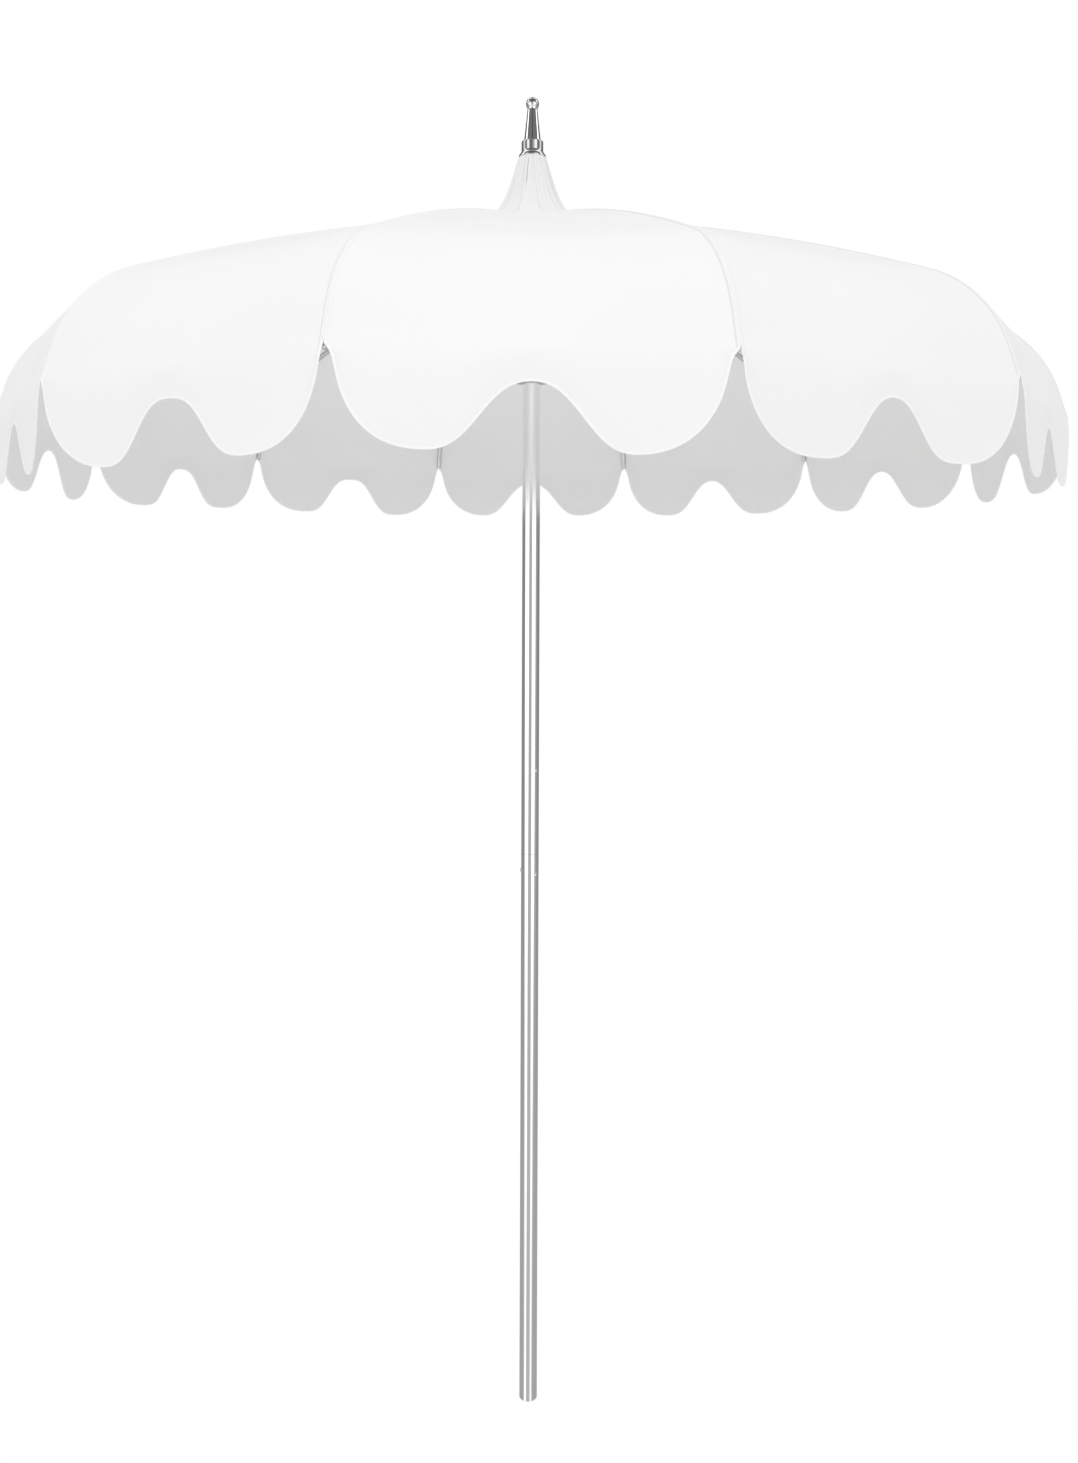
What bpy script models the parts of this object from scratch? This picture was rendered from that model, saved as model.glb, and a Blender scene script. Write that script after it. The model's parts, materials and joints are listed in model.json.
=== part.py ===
"""Garden parasol with a scalloped pagoda canopy on bent ribs and a two-piece pole.

Metres, +Z up. The origin is the centre of the pole's foot, and the canopy is open.
The first gore faces -Y.
"""

import math

import bmesh
import bpy
import numpy as np
from mathutils import Matrix, Vector

# Clearances
TOUCH_GAP = 0.0003
RUNNING_GAP = 0.0004

# Canopy frame: lengths in metres, angles in degrees
SECTORS = 12
HUB_PIVOT_HEIGHT = 2.349
HUB_PIVOT_RADIUS = 0.046
RIB_LENGTH = 1.0818
RIB_DIAMETER = 0.008
RIB_START_ANGLE = 10.3
RIB_CAMBER_ANGLE = 14.35
RIB_BEND_ANGLE = 48.9
RIB_BEND_LENGTH = 0.1904
RIB_TAIL_LENGTH = 0.049
CLIP_DISTANCE = 0.440
CLIP_CLEARANCE = 0.0015
CLIP_LENGTH = 0.018
CLIP_EAR_THICKNESS = 0.0019
CLIP_PIN_DIAMETER = 0.004
CLIP_PIN_STICKOUT = 0.0009
STRUT_DIAMETER = 0.007
EYE_RADIUS = 0.005
EYE_THICKNESS = 0.004
EYE_BLADE_LENGTH = 0.022
EYE_ROOT_INSET = 0.0008
ROD_START = 0.014
RING_WIRE_DIAMETER = 0.0026

# Canvas
CANVAS_THICKNESS = 0.0012
SEAM_GAP = 0.0006
NECK_TOP_RADIUS = 0.0271
NECK_RISE = 0.129
NECK_SPREAD = 0.0265
NECK_JOIN_RADIUS = 0.075
LOBE_DROP = 0.1307
VALLEY_DROP = 0.042
NOTCH_WIDTH = 0.023

# Pole
POLE_DIAMETER = 0.035
POLE_WALL = 0.0015
POLE_TOP_INSET = 0.0172
POLE_JOINT_HEIGHT = 1.092
SPIGOT_WALL = 0.0015
SPIGOT_PAST_SPRING = 0.033
SPIGOT_PAST_RIVET = 0.034
FOOT_PLUG_DEPTH = 0.028
FOOT_PLUG_WALL = 0.003
FOOT_PLUG_FLOOR = 0.005
TOP_PLUG_DEPTH = 0.026
TOP_PLUG_FLANGE = 0.003

# Snap button, its leaf spring and the rivets of the pole joint
BUTTON_BELOW_JOINT = 0.035
BUTTON_DIAMETER = 0.008
BUTTON_STICKOUT = 0.002
BUTTON_FLANGE_WIDTH = 0.0012
BUTTON_FLANGE_THICKNESS = 0.0012
LEAF_WIDTH = 0.008
LEAF_THICKNESS = 0.0008
LEAF_DEPTH = 0.052
LEAF_SEAT_LENGTH = 0.012
LEAF_BEND_WIDTH = 0.009
LEAF_BEND_HEIGHT = 0.0035
LEAF_BEND_FLAT = 0.0036
LEAF_FOOT_LENGTH = 0.016
LEAF_FOOT_ABOVE_BUTTON = 0.004
RIVET_ABOVE_JOINT = 0.166
KEY_RIVET_BELOW_JOINT = 0.042
RIVET_ANGLE = -45.0
RIVET_SHANK_DIAMETER = 0.0032
RIVET_HEAD_RIM = 0.0017
RIVET_HEAD_HEIGHT = 0.0012
RIVET_TAIL_RIM = 0.0007
RIVET_TAIL_LENGTH = 0.0014

# Top hub and its cross pin
HUB_BOSS_WALL = 0.0092
HUB_BOSS_TOP = 0.026
HUB_BOSS_BOTTOM = 0.022
HUB_FLANGE_HALF = 0.007
HUB_LIP = 0.005
HUB_BOSS_CHAMFER = 0.0025
HUB_UPPER_FILLET = 0.003
HUB_LOWER_FILLET = 0.004
HUB_PIN_DIAMETER = 0.004
HUB_PIN_ABOVE_PIVOT = 0.016

# Runner and the catch that it sits on
RUNNER_BELOW_HUB = 0.274
RUNNER_PIVOT_RADIUS = 0.046
RUNNER_LIP = 0.005
RUNNER_FLANGE_HALF = 0.008
RUNNER_SLEEVE_WALL = 0.005
RUNNER_SLEEVE_TOP = 0.085
RUNNER_WAIST_WALL = 0.009
RUNNER_BOTTOM = 0.036
RUNNER_GRIP_RADIUS = 0.043
RUNNER_GRIP_THICKNESS = 0.006
RUNNER_SHOULDER_WIDTH = 0.016
RUNNER_SLEEVE_CHAMFER = 0.0015
RUNNER_UPPER_FILLET = 0.006
RUNNER_LOWER_FILLET = 0.005
RUNNER_GRIP_FILLET = 0.003
RUNNER_GRIP_UPPER_CHAMFER = 0.002
RUNNER_GRIP_LOWER_CHAMFER = 0.001
RUNNER_SLOT_PAST_FLANGE = 0.003
CATCH_WIDTH = 0.008
CATCH_THICKNESS = 0.001
CATCH_STICKOUT = 0.0045
CATCH_NOSE_LENGTH = 0.055
CATCH_NOSE_FLAT = 0.004
CATCH_RETURN = 0.002
CATCH_LEG_LENGTH = 0.045

# Finial and neck collar
COLLAR_LENGTH = 0.038
COLLAR_FOOT_WALL = 0.0025
COLLAR_BAND = 0.007
FINIAL_OVERHANG = 0.0002
FINIAL_SKIRT_HEIGHT = 0.0136
FINIAL_SKIRT_RIM = 0.0019
FINIAL_BASE_RADIUS = 0.0218
FINIAL_BASE_HEIGHT = 0.0330
FINIAL_STEM_RADIUS = 0.0171
FINIAL_STEM_TOP_RADIUS = 0.0098
FINIAL_STEM_LENGTH = 0.0665
FINIAL_BALL_RADIUS = 0.0131
FINIAL_CHAMFER = 0.001
STUD_DIAMETER = 0.006
STUD_DEPTH_IN_STEM = 0.030

# Facets
ROUND_SIDES = 24
ROD_SIDES = 6
SMALL_SIDES = 8
BUTTON_SIDES = 16
GORE_STATIONS = 10
LOBE_STEPS = 5
BALL_STEPS = 5
DOME_STEPS = 3
SKIRT_STEPS = 3
NECK_ROWS = 5
EYE_ARC_HALF_ANGLE = 105.0
EAR_ARC_HALF_ANGLE = 75.0
SHARP_ANGLE = 35.0

# Sizes that follow from the ones above
SECTOR = 2 * math.pi / SECTORS
FRONT = -math.pi / 2
POLE_RADIUS = POLE_DIAMETER / 2
POLE_BORE = POLE_RADIUS - POLE_WALL
RUNNER_PIVOT_HEIGHT = HUB_PIVOT_HEIGHT - RUNNER_BELOW_HUB
BUTTON_HEIGHT = POLE_JOINT_HEIGHT - BUTTON_BELOW_JOINT
RIVET_HEIGHT = POLE_JOINT_HEIGHT + RIVET_ABOVE_JOINT
KEY_RIVET_HEIGHT = POLE_JOINT_HEIGHT - KEY_RIVET_BELOW_JOINT
SPIGOT_RADIUS = POLE_BORE - TOUCH_GAP
SPIGOT_BORE = SPIGOT_RADIUS - SPIGOT_WALL
RIB_RADIUS = RIB_DIAMETER / 2
STRUT_RADIUS = STRUT_DIAMETER / 2
WIRE_RADIUS = RING_WIRE_DIAMETER / 2
CLIP_DROP = RIB_RADIUS + EYE_RADIUS + CLIP_CLEARANCE
RIVET_SHANK = RIVET_SHANK_DIAMETER / 2
RIVET_TAIL = RIVET_SHANK + RIVET_TAIL_RIM
SLOT_WIDTH = EYE_THICKNESS + 2 * RUNNING_GAP
CANVAS_SEAT = RIB_RADIUS / math.cos(SECTOR / 2) + TOUCH_GAP
COLLAR_RADIUS = NECK_TOP_RADIUS - CANVAS_THICKNESS - TOUCH_GAP
FINIAL_SKIRT_RADIUS = NECK_TOP_RADIUS + FINIAL_OVERHANG
RIVET_DIRECTION = math.radians(RIVET_ANGLE)


# Helpers: meshes


def mesh_from(points, faces, name):
    """A mesh with its faces turned outwards."""
    mesh = bpy.data.meshes.new(name)
    mesh.from_pydata([tuple(p) for p in points], [], faces)
    return face_outwards(mesh)


def face_outwards(mesh):
    """Merge doubled points and point every face out of the body."""
    bm = bmesh.new()
    bm.from_mesh(mesh)
    bmesh.ops.remove_doubles(bm, verts=bm.verts, dist=1e-6)
    bmesh.ops.recalc_face_normals(bm, faces=bm.faces)
    bm.to_mesh(mesh)
    bm.free()
    return mesh


def turned(profile, name, sides=ROUND_SIDES):
    """Spin a profile of (radius, height) about Z: a ring if it is a closed loop off the axis."""
    on_axis = profile[0][0] == 0
    bm = bmesh.new()
    verts = [bm.verts.new((r, 0, z)) for r, z in profile]
    edges = [bm.edges.new(pair) for pair in zip(verts, verts[1:])]
    if not on_axis:
        edges.append(bm.edges.new((verts[-1], verts[0])))
    bmesh.ops.spin(
        bm, geom=verts + edges, cent=(0, 0, 0), axis=(0, 0, 1), angle=2 * math.pi, steps=sides
    )
    mesh = bpy.data.meshes.new(name)
    bm.to_mesh(mesh)
    bm.free()
    return face_outwards(mesh)


def tube(outer, inner, low, high, name):
    """A plain tube about Z."""
    return turned([(outer, high), (outer, low), (inner, low), (inner, high)], name)


def plate(outline, low, high, name):
    """An outline in the XZ plane, extruded along Y from low to high."""
    count = len(outline)
    points = [(x, low, z) for x, z in outline] + [(x, high, z) for x, z in outline]
    faces = [tuple(range(count)), tuple(range(count, 2 * count))]
    faces += [(i, (i + 1) % count, count + (i + 1) % count, count + i) for i in range(count)]
    return mesh_from(points, faces, name)


def round_bar(start, end, radius, name, sides=SMALL_SIDES):
    """A cylinder between two points."""
    start = Vector(start)
    end = Vector(end)
    bm = bmesh.new()
    bmesh.ops.create_cone(
        bm, cap_ends=True, segments=sides, radius1=radius, radius2=radius, depth=(end - start).length
    )
    turn = (end - start).to_track_quat("Z", "Y").to_matrix().to_4x4()
    bmesh.ops.transform(bm, matrix=Matrix.Translation((start + end) / 2) @ turn, verts=bm.verts)
    mesh = bpy.data.meshes.new(name)
    bm.to_mesh(mesh)
    bm.free()
    return mesh


def block(low, high, name):
    """A box between two corners."""
    outline = [(low[0], low[2]), (high[0], low[2]), (high[0], high[2]), (low[0], high[2])]
    return plate(outline, low[1], high[1], name)


def moved(mesh, matrix):
    """The mesh carried by a matrix."""
    mesh.transform(matrix)
    return mesh


def joined(meshes, name):
    """Several bodies in one mesh, for a cutter."""
    bm = bmesh.new()
    for mesh in meshes:
        bm.from_mesh(mesh)
    result = bpy.data.meshes.new(name)
    bm.to_mesh(result)
    bm.free()
    return result


def carved(mesh, steps):
    """The mesh after a row of ("UNION" or "DIFFERENCE", tool mesh) steps."""
    body = bpy.data.objects.new("work_body", mesh)
    bpy.context.collection.objects.link(body)
    tools = []
    for operation, tool_mesh in steps:
        tool = bpy.data.objects.new("work_tool", tool_mesh)
        bpy.context.collection.objects.link(tool)
        modifier = body.modifiers.new(operation.lower(), "BOOLEAN")
        modifier.operation = operation
        modifier.solver = "EXACT"
        modifier.object = tool
        tools.append(tool)
    graph = bpy.context.evaluated_depsgraph_get()
    result = bpy.data.meshes.new_from_object(body.evaluated_get(graph))
    result.name = mesh.name
    for scratch in tools + [body]:
        bpy.data.objects.remove(scratch)
    return face_outwards(result)


def strip_outline(path, thickness):
    """Outline of a bent strip: the path offset by half its thickness to both sides, mitred."""
    path = np.array(path)
    along = np.diff(path, axis=0)
    along /= np.linalg.norm(along, axis=1)[:, None]
    side = np.stack([-along[:, 1], along[:, 0]], axis=1)
    corner = np.concatenate([side[:1], side[:-1] + side[1:], side[-1:]])
    reach = np.concatenate([side[:1], side[1:], side[-1:]])
    corner /= (corner * reach).sum(axis=1)[:, None]
    offset = corner * thickness / 2
    return [tuple(p) for p in np.concatenate([path + offset, (path - offset)[::-1]])]


def blade_outline(length, tip_half, root_half):
    """A flattened rod end along +X: a round eye about the origin that narrows towards the rod."""
    half = math.radians(EYE_ARC_HALF_ANGLE)
    angles = np.linspace(math.pi - half, math.pi + half, SMALL_SIDES - 2)
    arc = [(tip_half * math.cos(a), tip_half * math.sin(a)) for a in angles]
    return arc + [(length, -root_half), (length, root_half)]


def turned_down(angle):
    """Rotation that takes +X down by an angle in the XZ plane."""
    return Matrix.Rotation(angle, 4, "Y")


def radial(angle, height):
    """Takes a turned shape's +Z axis to the level direction at an angle, at a height."""
    return (
        Matrix.Translation((0, 0, height))
        @ Matrix.Rotation(angle, 4, "Z")
        @ Matrix.Rotation(math.pi / 2, 4, "Y")
    )


# Helpers: objects and materials


def finish(name, colour, roughness, metallic):
    """A plain material of one colour."""
    material = bpy.data.materials.new(name)
    material.use_nodes = True
    shader = material.node_tree.nodes["Principled BSDF"]
    shader.inputs["Base Color"].default_value = (*colour, 1)
    shader.inputs["Roughness"].default_value = roughness
    shader.inputs["Metallic"].default_value = metallic
    return material


def add_piece(name, mesh, material, parent=None, turn=0.0, location=(0, 0, 0)):
    """A named object with its own material slot, smooth where it is round."""
    if not mesh.materials:
        mesh.materials.append(material)
    mesh.shade_smooth()
    mesh.set_sharp_from_angle(angle=math.radians(SHARP_ANGLE))
    piece = bpy.data.objects.new(name, mesh)
    bpy.context.collection.objects.link(piece)
    piece.parent = parent
    piece.rotation_euler = (0, 0, turn)
    piece.location = location
    return piece


def add_axis(name, location, turn=0.0, parent=None):
    """An empty that marks a joint."""
    empty = bpy.data.objects.new(name, None)
    empty.empty_display_size = 0.02
    bpy.context.collection.objects.link(empty)
    empty.parent = parent
    empty.location = location
    empty.rotation_euler = (0, 0, turn)
    return empty


# The rib's line


def rib_heading(distance):
    """Angle below level along the rib: a steady camber, and one arc before the straight tail."""
    bend_start = RIB_LENGTH - RIB_TAIL_LENGTH - RIB_BEND_LENGTH
    camber = RIB_CAMBER_ANGLE * np.clip(distance / RIB_LENGTH, 0, 1)
    bend = RIB_BEND_ANGLE * np.clip((distance - bend_start) / RIB_BEND_LENGTH, 0, 1)
    return np.radians(RIB_START_ANGLE + camber + bend)


def rib_line(distance):
    """Outward and upward place of the rib's centre from the hub pivot, and its heading.

    The line runs straight on inside the pivot, where only the canvas follows it.
    """
    table = np.linspace(-HUB_PIVOT_RADIUS, RIB_LENGTH, 900)
    heading = rib_heading(table)
    step = table[1] - table[0]
    out = np.cumsum(np.cos(heading)) * step
    down = np.cumsum(np.sin(heading)) * step
    out -= np.interp(0, table, out)
    down -= np.interp(0, table, down)
    distance = np.asarray(distance, float)
    return np.interp(distance, table, out), -np.interp(distance, table, down), rib_heading(distance)


def gore_stations():
    """Distances along the rib from the neck to the tip, closer where the canvas flares or bends.

    The rib takes the same stations, so that its facets and the canvas's lie side by side, and
    one of them is moved to the strut's clip, so that the rod is true there.
    """
    start = float(canvas_distance(NECK_JOIN_RADIUS + TOUCH_GAP))
    table = np.linspace(start, RIB_LENGTH, 600)
    heading = rib_heading(table)
    flare = 1 - np.exp(-(table - start) / NECK_SPREAD)
    share = (table - start) / (RIB_LENGTH - start)
    share = share + 1.5 * (heading - heading[0]) / np.ptp(heading) + 0.7 * flare / flare[-1]
    stations = np.interp(np.linspace(share[0], share[-1], GORE_STATIONS), share, table)
    stations[np.argmin(np.abs(stations - CLIP_DISTANCE))] = CLIP_DISTANCE
    return stations


def canvas_line(distance):
    """Radius and height of the canvas's outer face over a rib: the rib plus the flare of the neck."""
    out, up, heading = rib_line(distance)
    lift = CANVAS_SEAT + CANVAS_THICKNESS
    radius = HUB_PIVOT_RADIUS + out + lift * np.sin(heading)
    flare = NECK_RISE * np.exp(-(radius - NECK_TOP_RADIUS) / NECK_SPREAD)
    return radius, HUB_PIVOT_HEIGHT + up + lift * np.cos(heading) + flare


def canvas_faces(distance):
    """(outer radius, outer height, inner radius, inner height) of the canvas over a rib."""
    step = 1e-4
    radius, height = canvas_line(distance)
    ahead = canvas_line(np.minimum(distance + step, RIB_LENGTH))
    behind = canvas_line(distance - step)
    run = ahead[0] - behind[0]
    rise = ahead[1] - behind[1]
    length = np.hypot(run, rise)
    inner_radius = radius + CANVAS_THICKNESS * rise / length
    inner_height = height - CANVAS_THICKNESS * run / length
    return radius, height, inner_radius, inner_height


def canvas_distance(radius):
    """Distance along the rib at which the canvas's outer face has a radius."""
    table = np.linspace(-HUB_PIVOT_RADIUS, RIB_LENGTH, 900)
    return np.interp(radius, canvas_line(table)[0], table)


NECK_TOP_HEIGHT = float(canvas_line(canvas_distance(NECK_TOP_RADIUS))[1])
FINIAL_HEIGHT = NECK_TOP_HEIGHT + TOUCH_GAP
POLE_TOP_HEIGHT = NECK_TOP_HEIGHT - POLE_TOP_INSET


# Ribs and struts


def clip_pivot():
    """Outward and upward place of the strut pivot from the hub pivot."""
    out, up, heading = (float(v) for v in rib_line(CLIP_DISTANCE))
    return out - CLIP_DROP * math.sin(heading), up - CLIP_DROP * math.cos(heading)


def rib_mesh():
    """A bent rod with a flattened eye at the hub, strut ears with their pin, and a round tip."""
    tip_angle = np.radians([0, 60])
    tip = RIB_LENGTH - RIB_RADIUS * (1 - np.sin(tip_angle))
    middle = gore_stations()
    middle = middle[(middle > ROD_START + RIB_RADIUS) & (middle < tip[0] - RIB_RADIUS)]
    distance = np.concatenate([[ROD_START], middle, tip])
    size = np.full(len(distance), RIB_RADIUS)
    size[-len(tip) :] = RIB_RADIUS * np.cos(tip_angle)
    out, up, heading = rib_line(distance)
    angle = np.arange(ROD_SIDES) * 2 * math.pi / ROD_SIDES
    lift = size[:, None] * np.cos(angle)
    points = np.stack(
        [
            out[:, None] + lift * np.sin(heading)[:, None],
            size[:, None] * np.sin(angle),
            up[:, None] + lift * np.cos(heading)[:, None],
        ],
        axis=-1,
    ).reshape(-1, 3)
    rings = [list(range(i * ROD_SIDES, (i + 1) * ROD_SIDES)) for i in range(len(distance))]
    faces = [tuple(rings[0]), tuple(rings[-1])]
    for a, b in zip(rings, rings[1:]):
        faces += [(a[i], a[i - 1], b[i - 1], b[i]) for i in range(ROD_SIDES)]
    rod = mesh_from(points, faces, "rib")

    start_angle = math.radians(RIB_START_ANGLE)
    blade = plate(
        blade_outline(EYE_BLADE_LENGTH, EYE_RADIUS, RIB_RADIUS - EYE_ROOT_INSET),
        -EYE_THICKNESS / 2,
        EYE_THICKNESS / 2,
        "blade",
    )
    eye_hole = round_bar(
        (0, -EYE_THICKNESS, 0), (0, EYE_THICKNESS, 0), WIRE_RADIUS + RUNNING_GAP, "eye_hole"
    )

    out, up, heading = (float(v) for v in rib_line(CLIP_DISTANCE))
    seat = Matrix.Translation((out, 0, up)) @ turned_down(heading)
    half = math.radians(EAR_ARC_HALF_ANGLE)
    arc = np.linspace(half, -half, SMALL_SIDES - 3) - math.pi / 2
    ear = [(-CLIP_LENGTH / 2, 0), (CLIP_LENGTH / 2, 0)]
    ear += [(EYE_RADIUS * math.cos(a), EYE_RADIUS * math.sin(a) - CLIP_DROP) for a in arc]
    inner = EYE_THICKNESS / 2 + RUNNING_GAP
    outer = inner + CLIP_EAR_THICKNESS
    sides = ((-outer, -inner), (inner, outer))
    ears = [moved(plate(ear, low, high, "ear"), seat) for low, high in sides]
    pin_end = outer + CLIP_PIN_STICKOUT
    pin = moved(
        round_bar((0, -pin_end, -CLIP_DROP), (0, pin_end, -CLIP_DROP), CLIP_PIN_DIAMETER / 2, "pin"),
        seat,
    )
    return carved(
        rod,
        [
            ("UNION", moved(blade, turned_down(start_angle))),
            ("DIFFERENCE", eye_hole),
            ("UNION", ears[0]),
            ("UNION", ears[1]),
            ("UNION", pin),
        ],
    )


def strut_mesh():
    """A straight rod with a flattened eye at each end, from the clip pivot to the runner pivot."""
    clip_out, clip_up = clip_pivot()
    run = RUNNER_PIVOT_RADIUS - HUB_PIVOT_RADIUS - clip_out
    rise = RUNNER_PIVOT_HEIGHT - HUB_PIVOT_HEIGHT - clip_up
    length = math.hypot(run, rise)
    rod = round_bar((ROD_START, 0, 0), (length - ROD_START, 0, 0), STRUT_RADIUS, "strut", ROD_SIDES)
    steps = []
    for place, facing in ((0, 0), (length, math.pi)):
        at = Matrix.Translation((place, 0, 0)) @ turned_down(facing)
        blade = plate(
            blade_outline(EYE_BLADE_LENGTH, EYE_RADIUS, STRUT_RADIUS - EYE_ROOT_INSET),
            -EYE_THICKNESS / 2,
            EYE_THICKNESS / 2,
            "blade",
        )
        steps.append(("UNION", moved(blade, at)))
    holes = ((0, CLIP_PIN_DIAMETER / 2), (length, WIRE_RADIUS))
    for place, radius in holes:
        ends = ((place, -EYE_THICKNESS, 0), (place, EYE_THICKNESS, 0))
        hole = round_bar(*ends, radius + RUNNING_GAP, "hole")
        steps.append(("DIFFERENCE", hole))
    return moved(carved(rod, steps), turned_down(math.atan2(-rise, run)))


# Canvas


def scallop_drop(across):
    """How far the hem hangs below the rib tips, by the share of the way from a seam to mid gore.

    A quarter ellipse falls from the notch at the seam to the lobe, and a raised cosine climbs
    from the lobe to the shallow valley at mid gore.
    """
    notch = NOTCH_WIDTH / 2 / (canvas_line(RIB_LENGTH)[0] * math.sin(SECTOR / 2))
    fall = np.clip((0.5 - across) / (0.5 - notch), 0, 1)
    falling = LOBE_DROP * np.sqrt(1 - fall**2)
    climb = np.clip((across - 0.5) / 0.5, 0, 1)
    climbing = VALLEY_DROP + (LOBE_DROP - VALLEY_DROP) * (1 + np.cos(math.pi * climb)) / 2
    return np.where(across < 0.5, falling, climbing)


def gore_mesh():
    """One gore between two ribs, with its scalloped valance hanging from the line of the rib tips.

    The canvas is straight from rib to rib, so the gore is a bent strip that the two rib planes trim.
    X points out along the gore's middle.
    """
    distance = gore_stations()
    outer_r, outer_z, inner_r, inner_z = canvas_faces(distance)
    slope = math.tan(SECTOR / 2)
    gap = SEAM_GAP / 2 / math.cos(SECTOR / 2)
    points = []
    for radius, height in ((outer_r, outer_z), (inner_r, inner_z)):
        middle = radius * math.cos(SECTOR / 2)
        half = middle * slope - gap
        points += [*zip(middle, -half, height), *zip(middle, half, height)]
    count = len(distance)
    rows = np.arange(4 * count).reshape(4, count)
    faces = []
    for left, right in ((rows[0], rows[1]), (rows[2], rows[3])):
        faces += [(left[i], left[i + 1], right[i + 1], right[i]) for i in range(count - 1)]
    faces.append((rows[0][0], rows[1][0], rows[3][0], rows[2][0]))
    faces.append(tuple(np.concatenate([rows[0], rows[2][::-1]])))
    faces.append(tuple(np.concatenate([rows[1], rows[3][::-1]])))

    share = np.sin(np.linspace(0, math.pi / 2, LOBE_STEPS + 1)) / 2
    share = np.concatenate([0.5 - share[:0:-1], 1 - share[::-1]])[1:]
    across = np.concatenate([share, share[-2::-1]])
    side = np.concatenate([1 - share, share[-2::-1] - 1])
    drop = scallop_drop(across)
    hems = []
    for row in (rows[0], rows[2]):
        corner = points[row[-1]]
        half = abs(corner[1])
        hems.append([len(points) + i for i in range(len(drop))])
        points += [(corner[0], -half * s, corner[2] - d) for s, d in zip(side, drop)]
    for hem, left, right in ((hems[0], rows[0], rows[1]), (hems[1], rows[2], rows[3])):
        faces.append((left[-1], *hem, right[-1]))
    edge = [(rows[0][-1], rows[2][-1]), *zip(*hems), (rows[1][-1], rows[3][-1])]
    faces += [(a[0], b[0], b[1], a[1]) for a, b in zip(edge, edge[1:])]
    return mesh_from(points, faces, "gore")


def neck_mesh():
    """The gathered neck: round under the finial, and as many sides as there are gores below."""
    rows = NECK_ROWS
    radius = np.linspace(NECK_TOP_RADIUS, NECK_JOIN_RADIUS, rows)
    outer_r, outer_z, inner_r, inner_z = canvas_faces(canvas_distance(radius))
    inner_r[0] = outer_r[0] - CANVAS_THICKNESS
    inner_z[0] = outer_z[0]
    squareness = np.linspace(0, 1, rows)[:, None]
    column = np.arange(2 * SECTORS)
    angle = FRONT + SECTOR / 2 * column
    at_gore = (column % 2 == 0) * squareness
    points = []
    for r, z in ((outer_r, outer_z), (inner_r, inner_z)):
        reach = r[:, None] * (1 - at_gore * (1 - math.cos(SECTOR / 2)))
        grid = np.stack([reach * np.cos(angle), reach * np.sin(angle), z[:, None] + 0 * reach], -1)
        points.append(grid.reshape(-1, 3))
    number = np.arange(2 * rows * 2 * SECTORS).reshape(2, rows, 2 * SECTORS)
    loop = np.concatenate([number[0], number[1][::-1], number[0][:1]])
    faces = []
    for upper, lower in zip(loop, loop[1:]):
        faces += [(upper[i], upper[i - 1], lower[i - 1], lower[i]) for i in range(2 * SECTORS)]
    return mesh_from(np.concatenate(points), faces, "canopy_neck")


# Hub, ring wire and runner


def slot_cutters(pivot_radius, height, low, high):
    """A radial slot at each rib, open at the rim, for a flattened eye that turns in it."""
    floor = pivot_radius - EYE_RADIUS - 2 * RUNNING_GAP
    rim = 2 * pivot_radius
    cutters = []
    for index in range(SECTORS):
        cutter = block(
            (floor, -SLOT_WIDTH / 2, height - low), (rim, SLOT_WIDTH / 2, height + high), "slot"
        )
        cutters.append(moved(cutter, Matrix.Rotation(rib_turn(index), 4, "Z")))
    return joined(cutters, "slots")


def rib_turn(index):
    """Direction of a rib about Z."""
    return FRONT + (index - 0.5) * SECTOR


def hub_mesh():
    """A moulded hub: a boss on the pole and a slotted flange with a groove for the ring wire."""
    bore = POLE_RADIUS + TOUCH_GAP
    boss = POLE_RADIUS + HUB_BOSS_WALL
    rim = HUB_PIVOT_RADIUS + HUB_LIP
    shoulder = (boss + rim) / 2
    half = HUB_FLANGE_HALF
    profile = [
        (boss - HUB_BOSS_CHAMFER, HUB_BOSS_TOP),
        (boss, HUB_BOSS_TOP - HUB_BOSS_CHAMFER),
        (boss, half + HUB_UPPER_FILLET),
        (shoulder, half),
        (rim, half),
        (rim, -half),
        (shoulder, -half),
        (boss, -half - HUB_LOWER_FILLET),
        (boss, -HUB_BOSS_BOTTOM),
        (bore, -HUB_BOSS_BOTTOM),
        (bore, HUB_BOSS_TOP),
    ]
    profile = [(r, z + HUB_PIVOT_HEIGHT) for r, z in profile]
    groove_floor = HUB_PIVOT_RADIUS - WIRE_RADIUS - TOUCH_GAP
    groove_half = WIRE_RADIUS + TOUCH_GAP
    groove = turned(
        [
            (2 * rim, HUB_PIVOT_HEIGHT + groove_half),
            (2 * rim, HUB_PIVOT_HEIGHT - groove_half),
            (groove_floor, HUB_PIVOT_HEIGHT - groove_half),
            (groove_floor, HUB_PIVOT_HEIGHT + groove_half),
        ],
        "groove",
    )
    slots = slot_cutters(HUB_PIVOT_RADIUS, HUB_PIVOT_HEIGHT, 2 * half, 2 * half)
    return carved(
        turned(profile, "top_hub"),
        [("DIFFERENCE", slots), ("DIFFERENCE", groove), ("DIFFERENCE", hub_pin_bar(TOUCH_GAP))],
    )


def hub_pin_bar(gap):
    """The cross pin through the hub's boss and both walls of the pole, or its hole with a gap."""
    reach = POLE_RADIUS + HUB_BOSS_WALL + (gap and POLE_RADIUS)
    height = HUB_PIVOT_HEIGHT + HUB_PIN_ABOVE_PIVOT
    return round_bar(
        (-reach, 0, height), (reach, 0, height), HUB_PIN_DIAMETER / 2 + gap, "hub_pin"
    )


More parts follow.
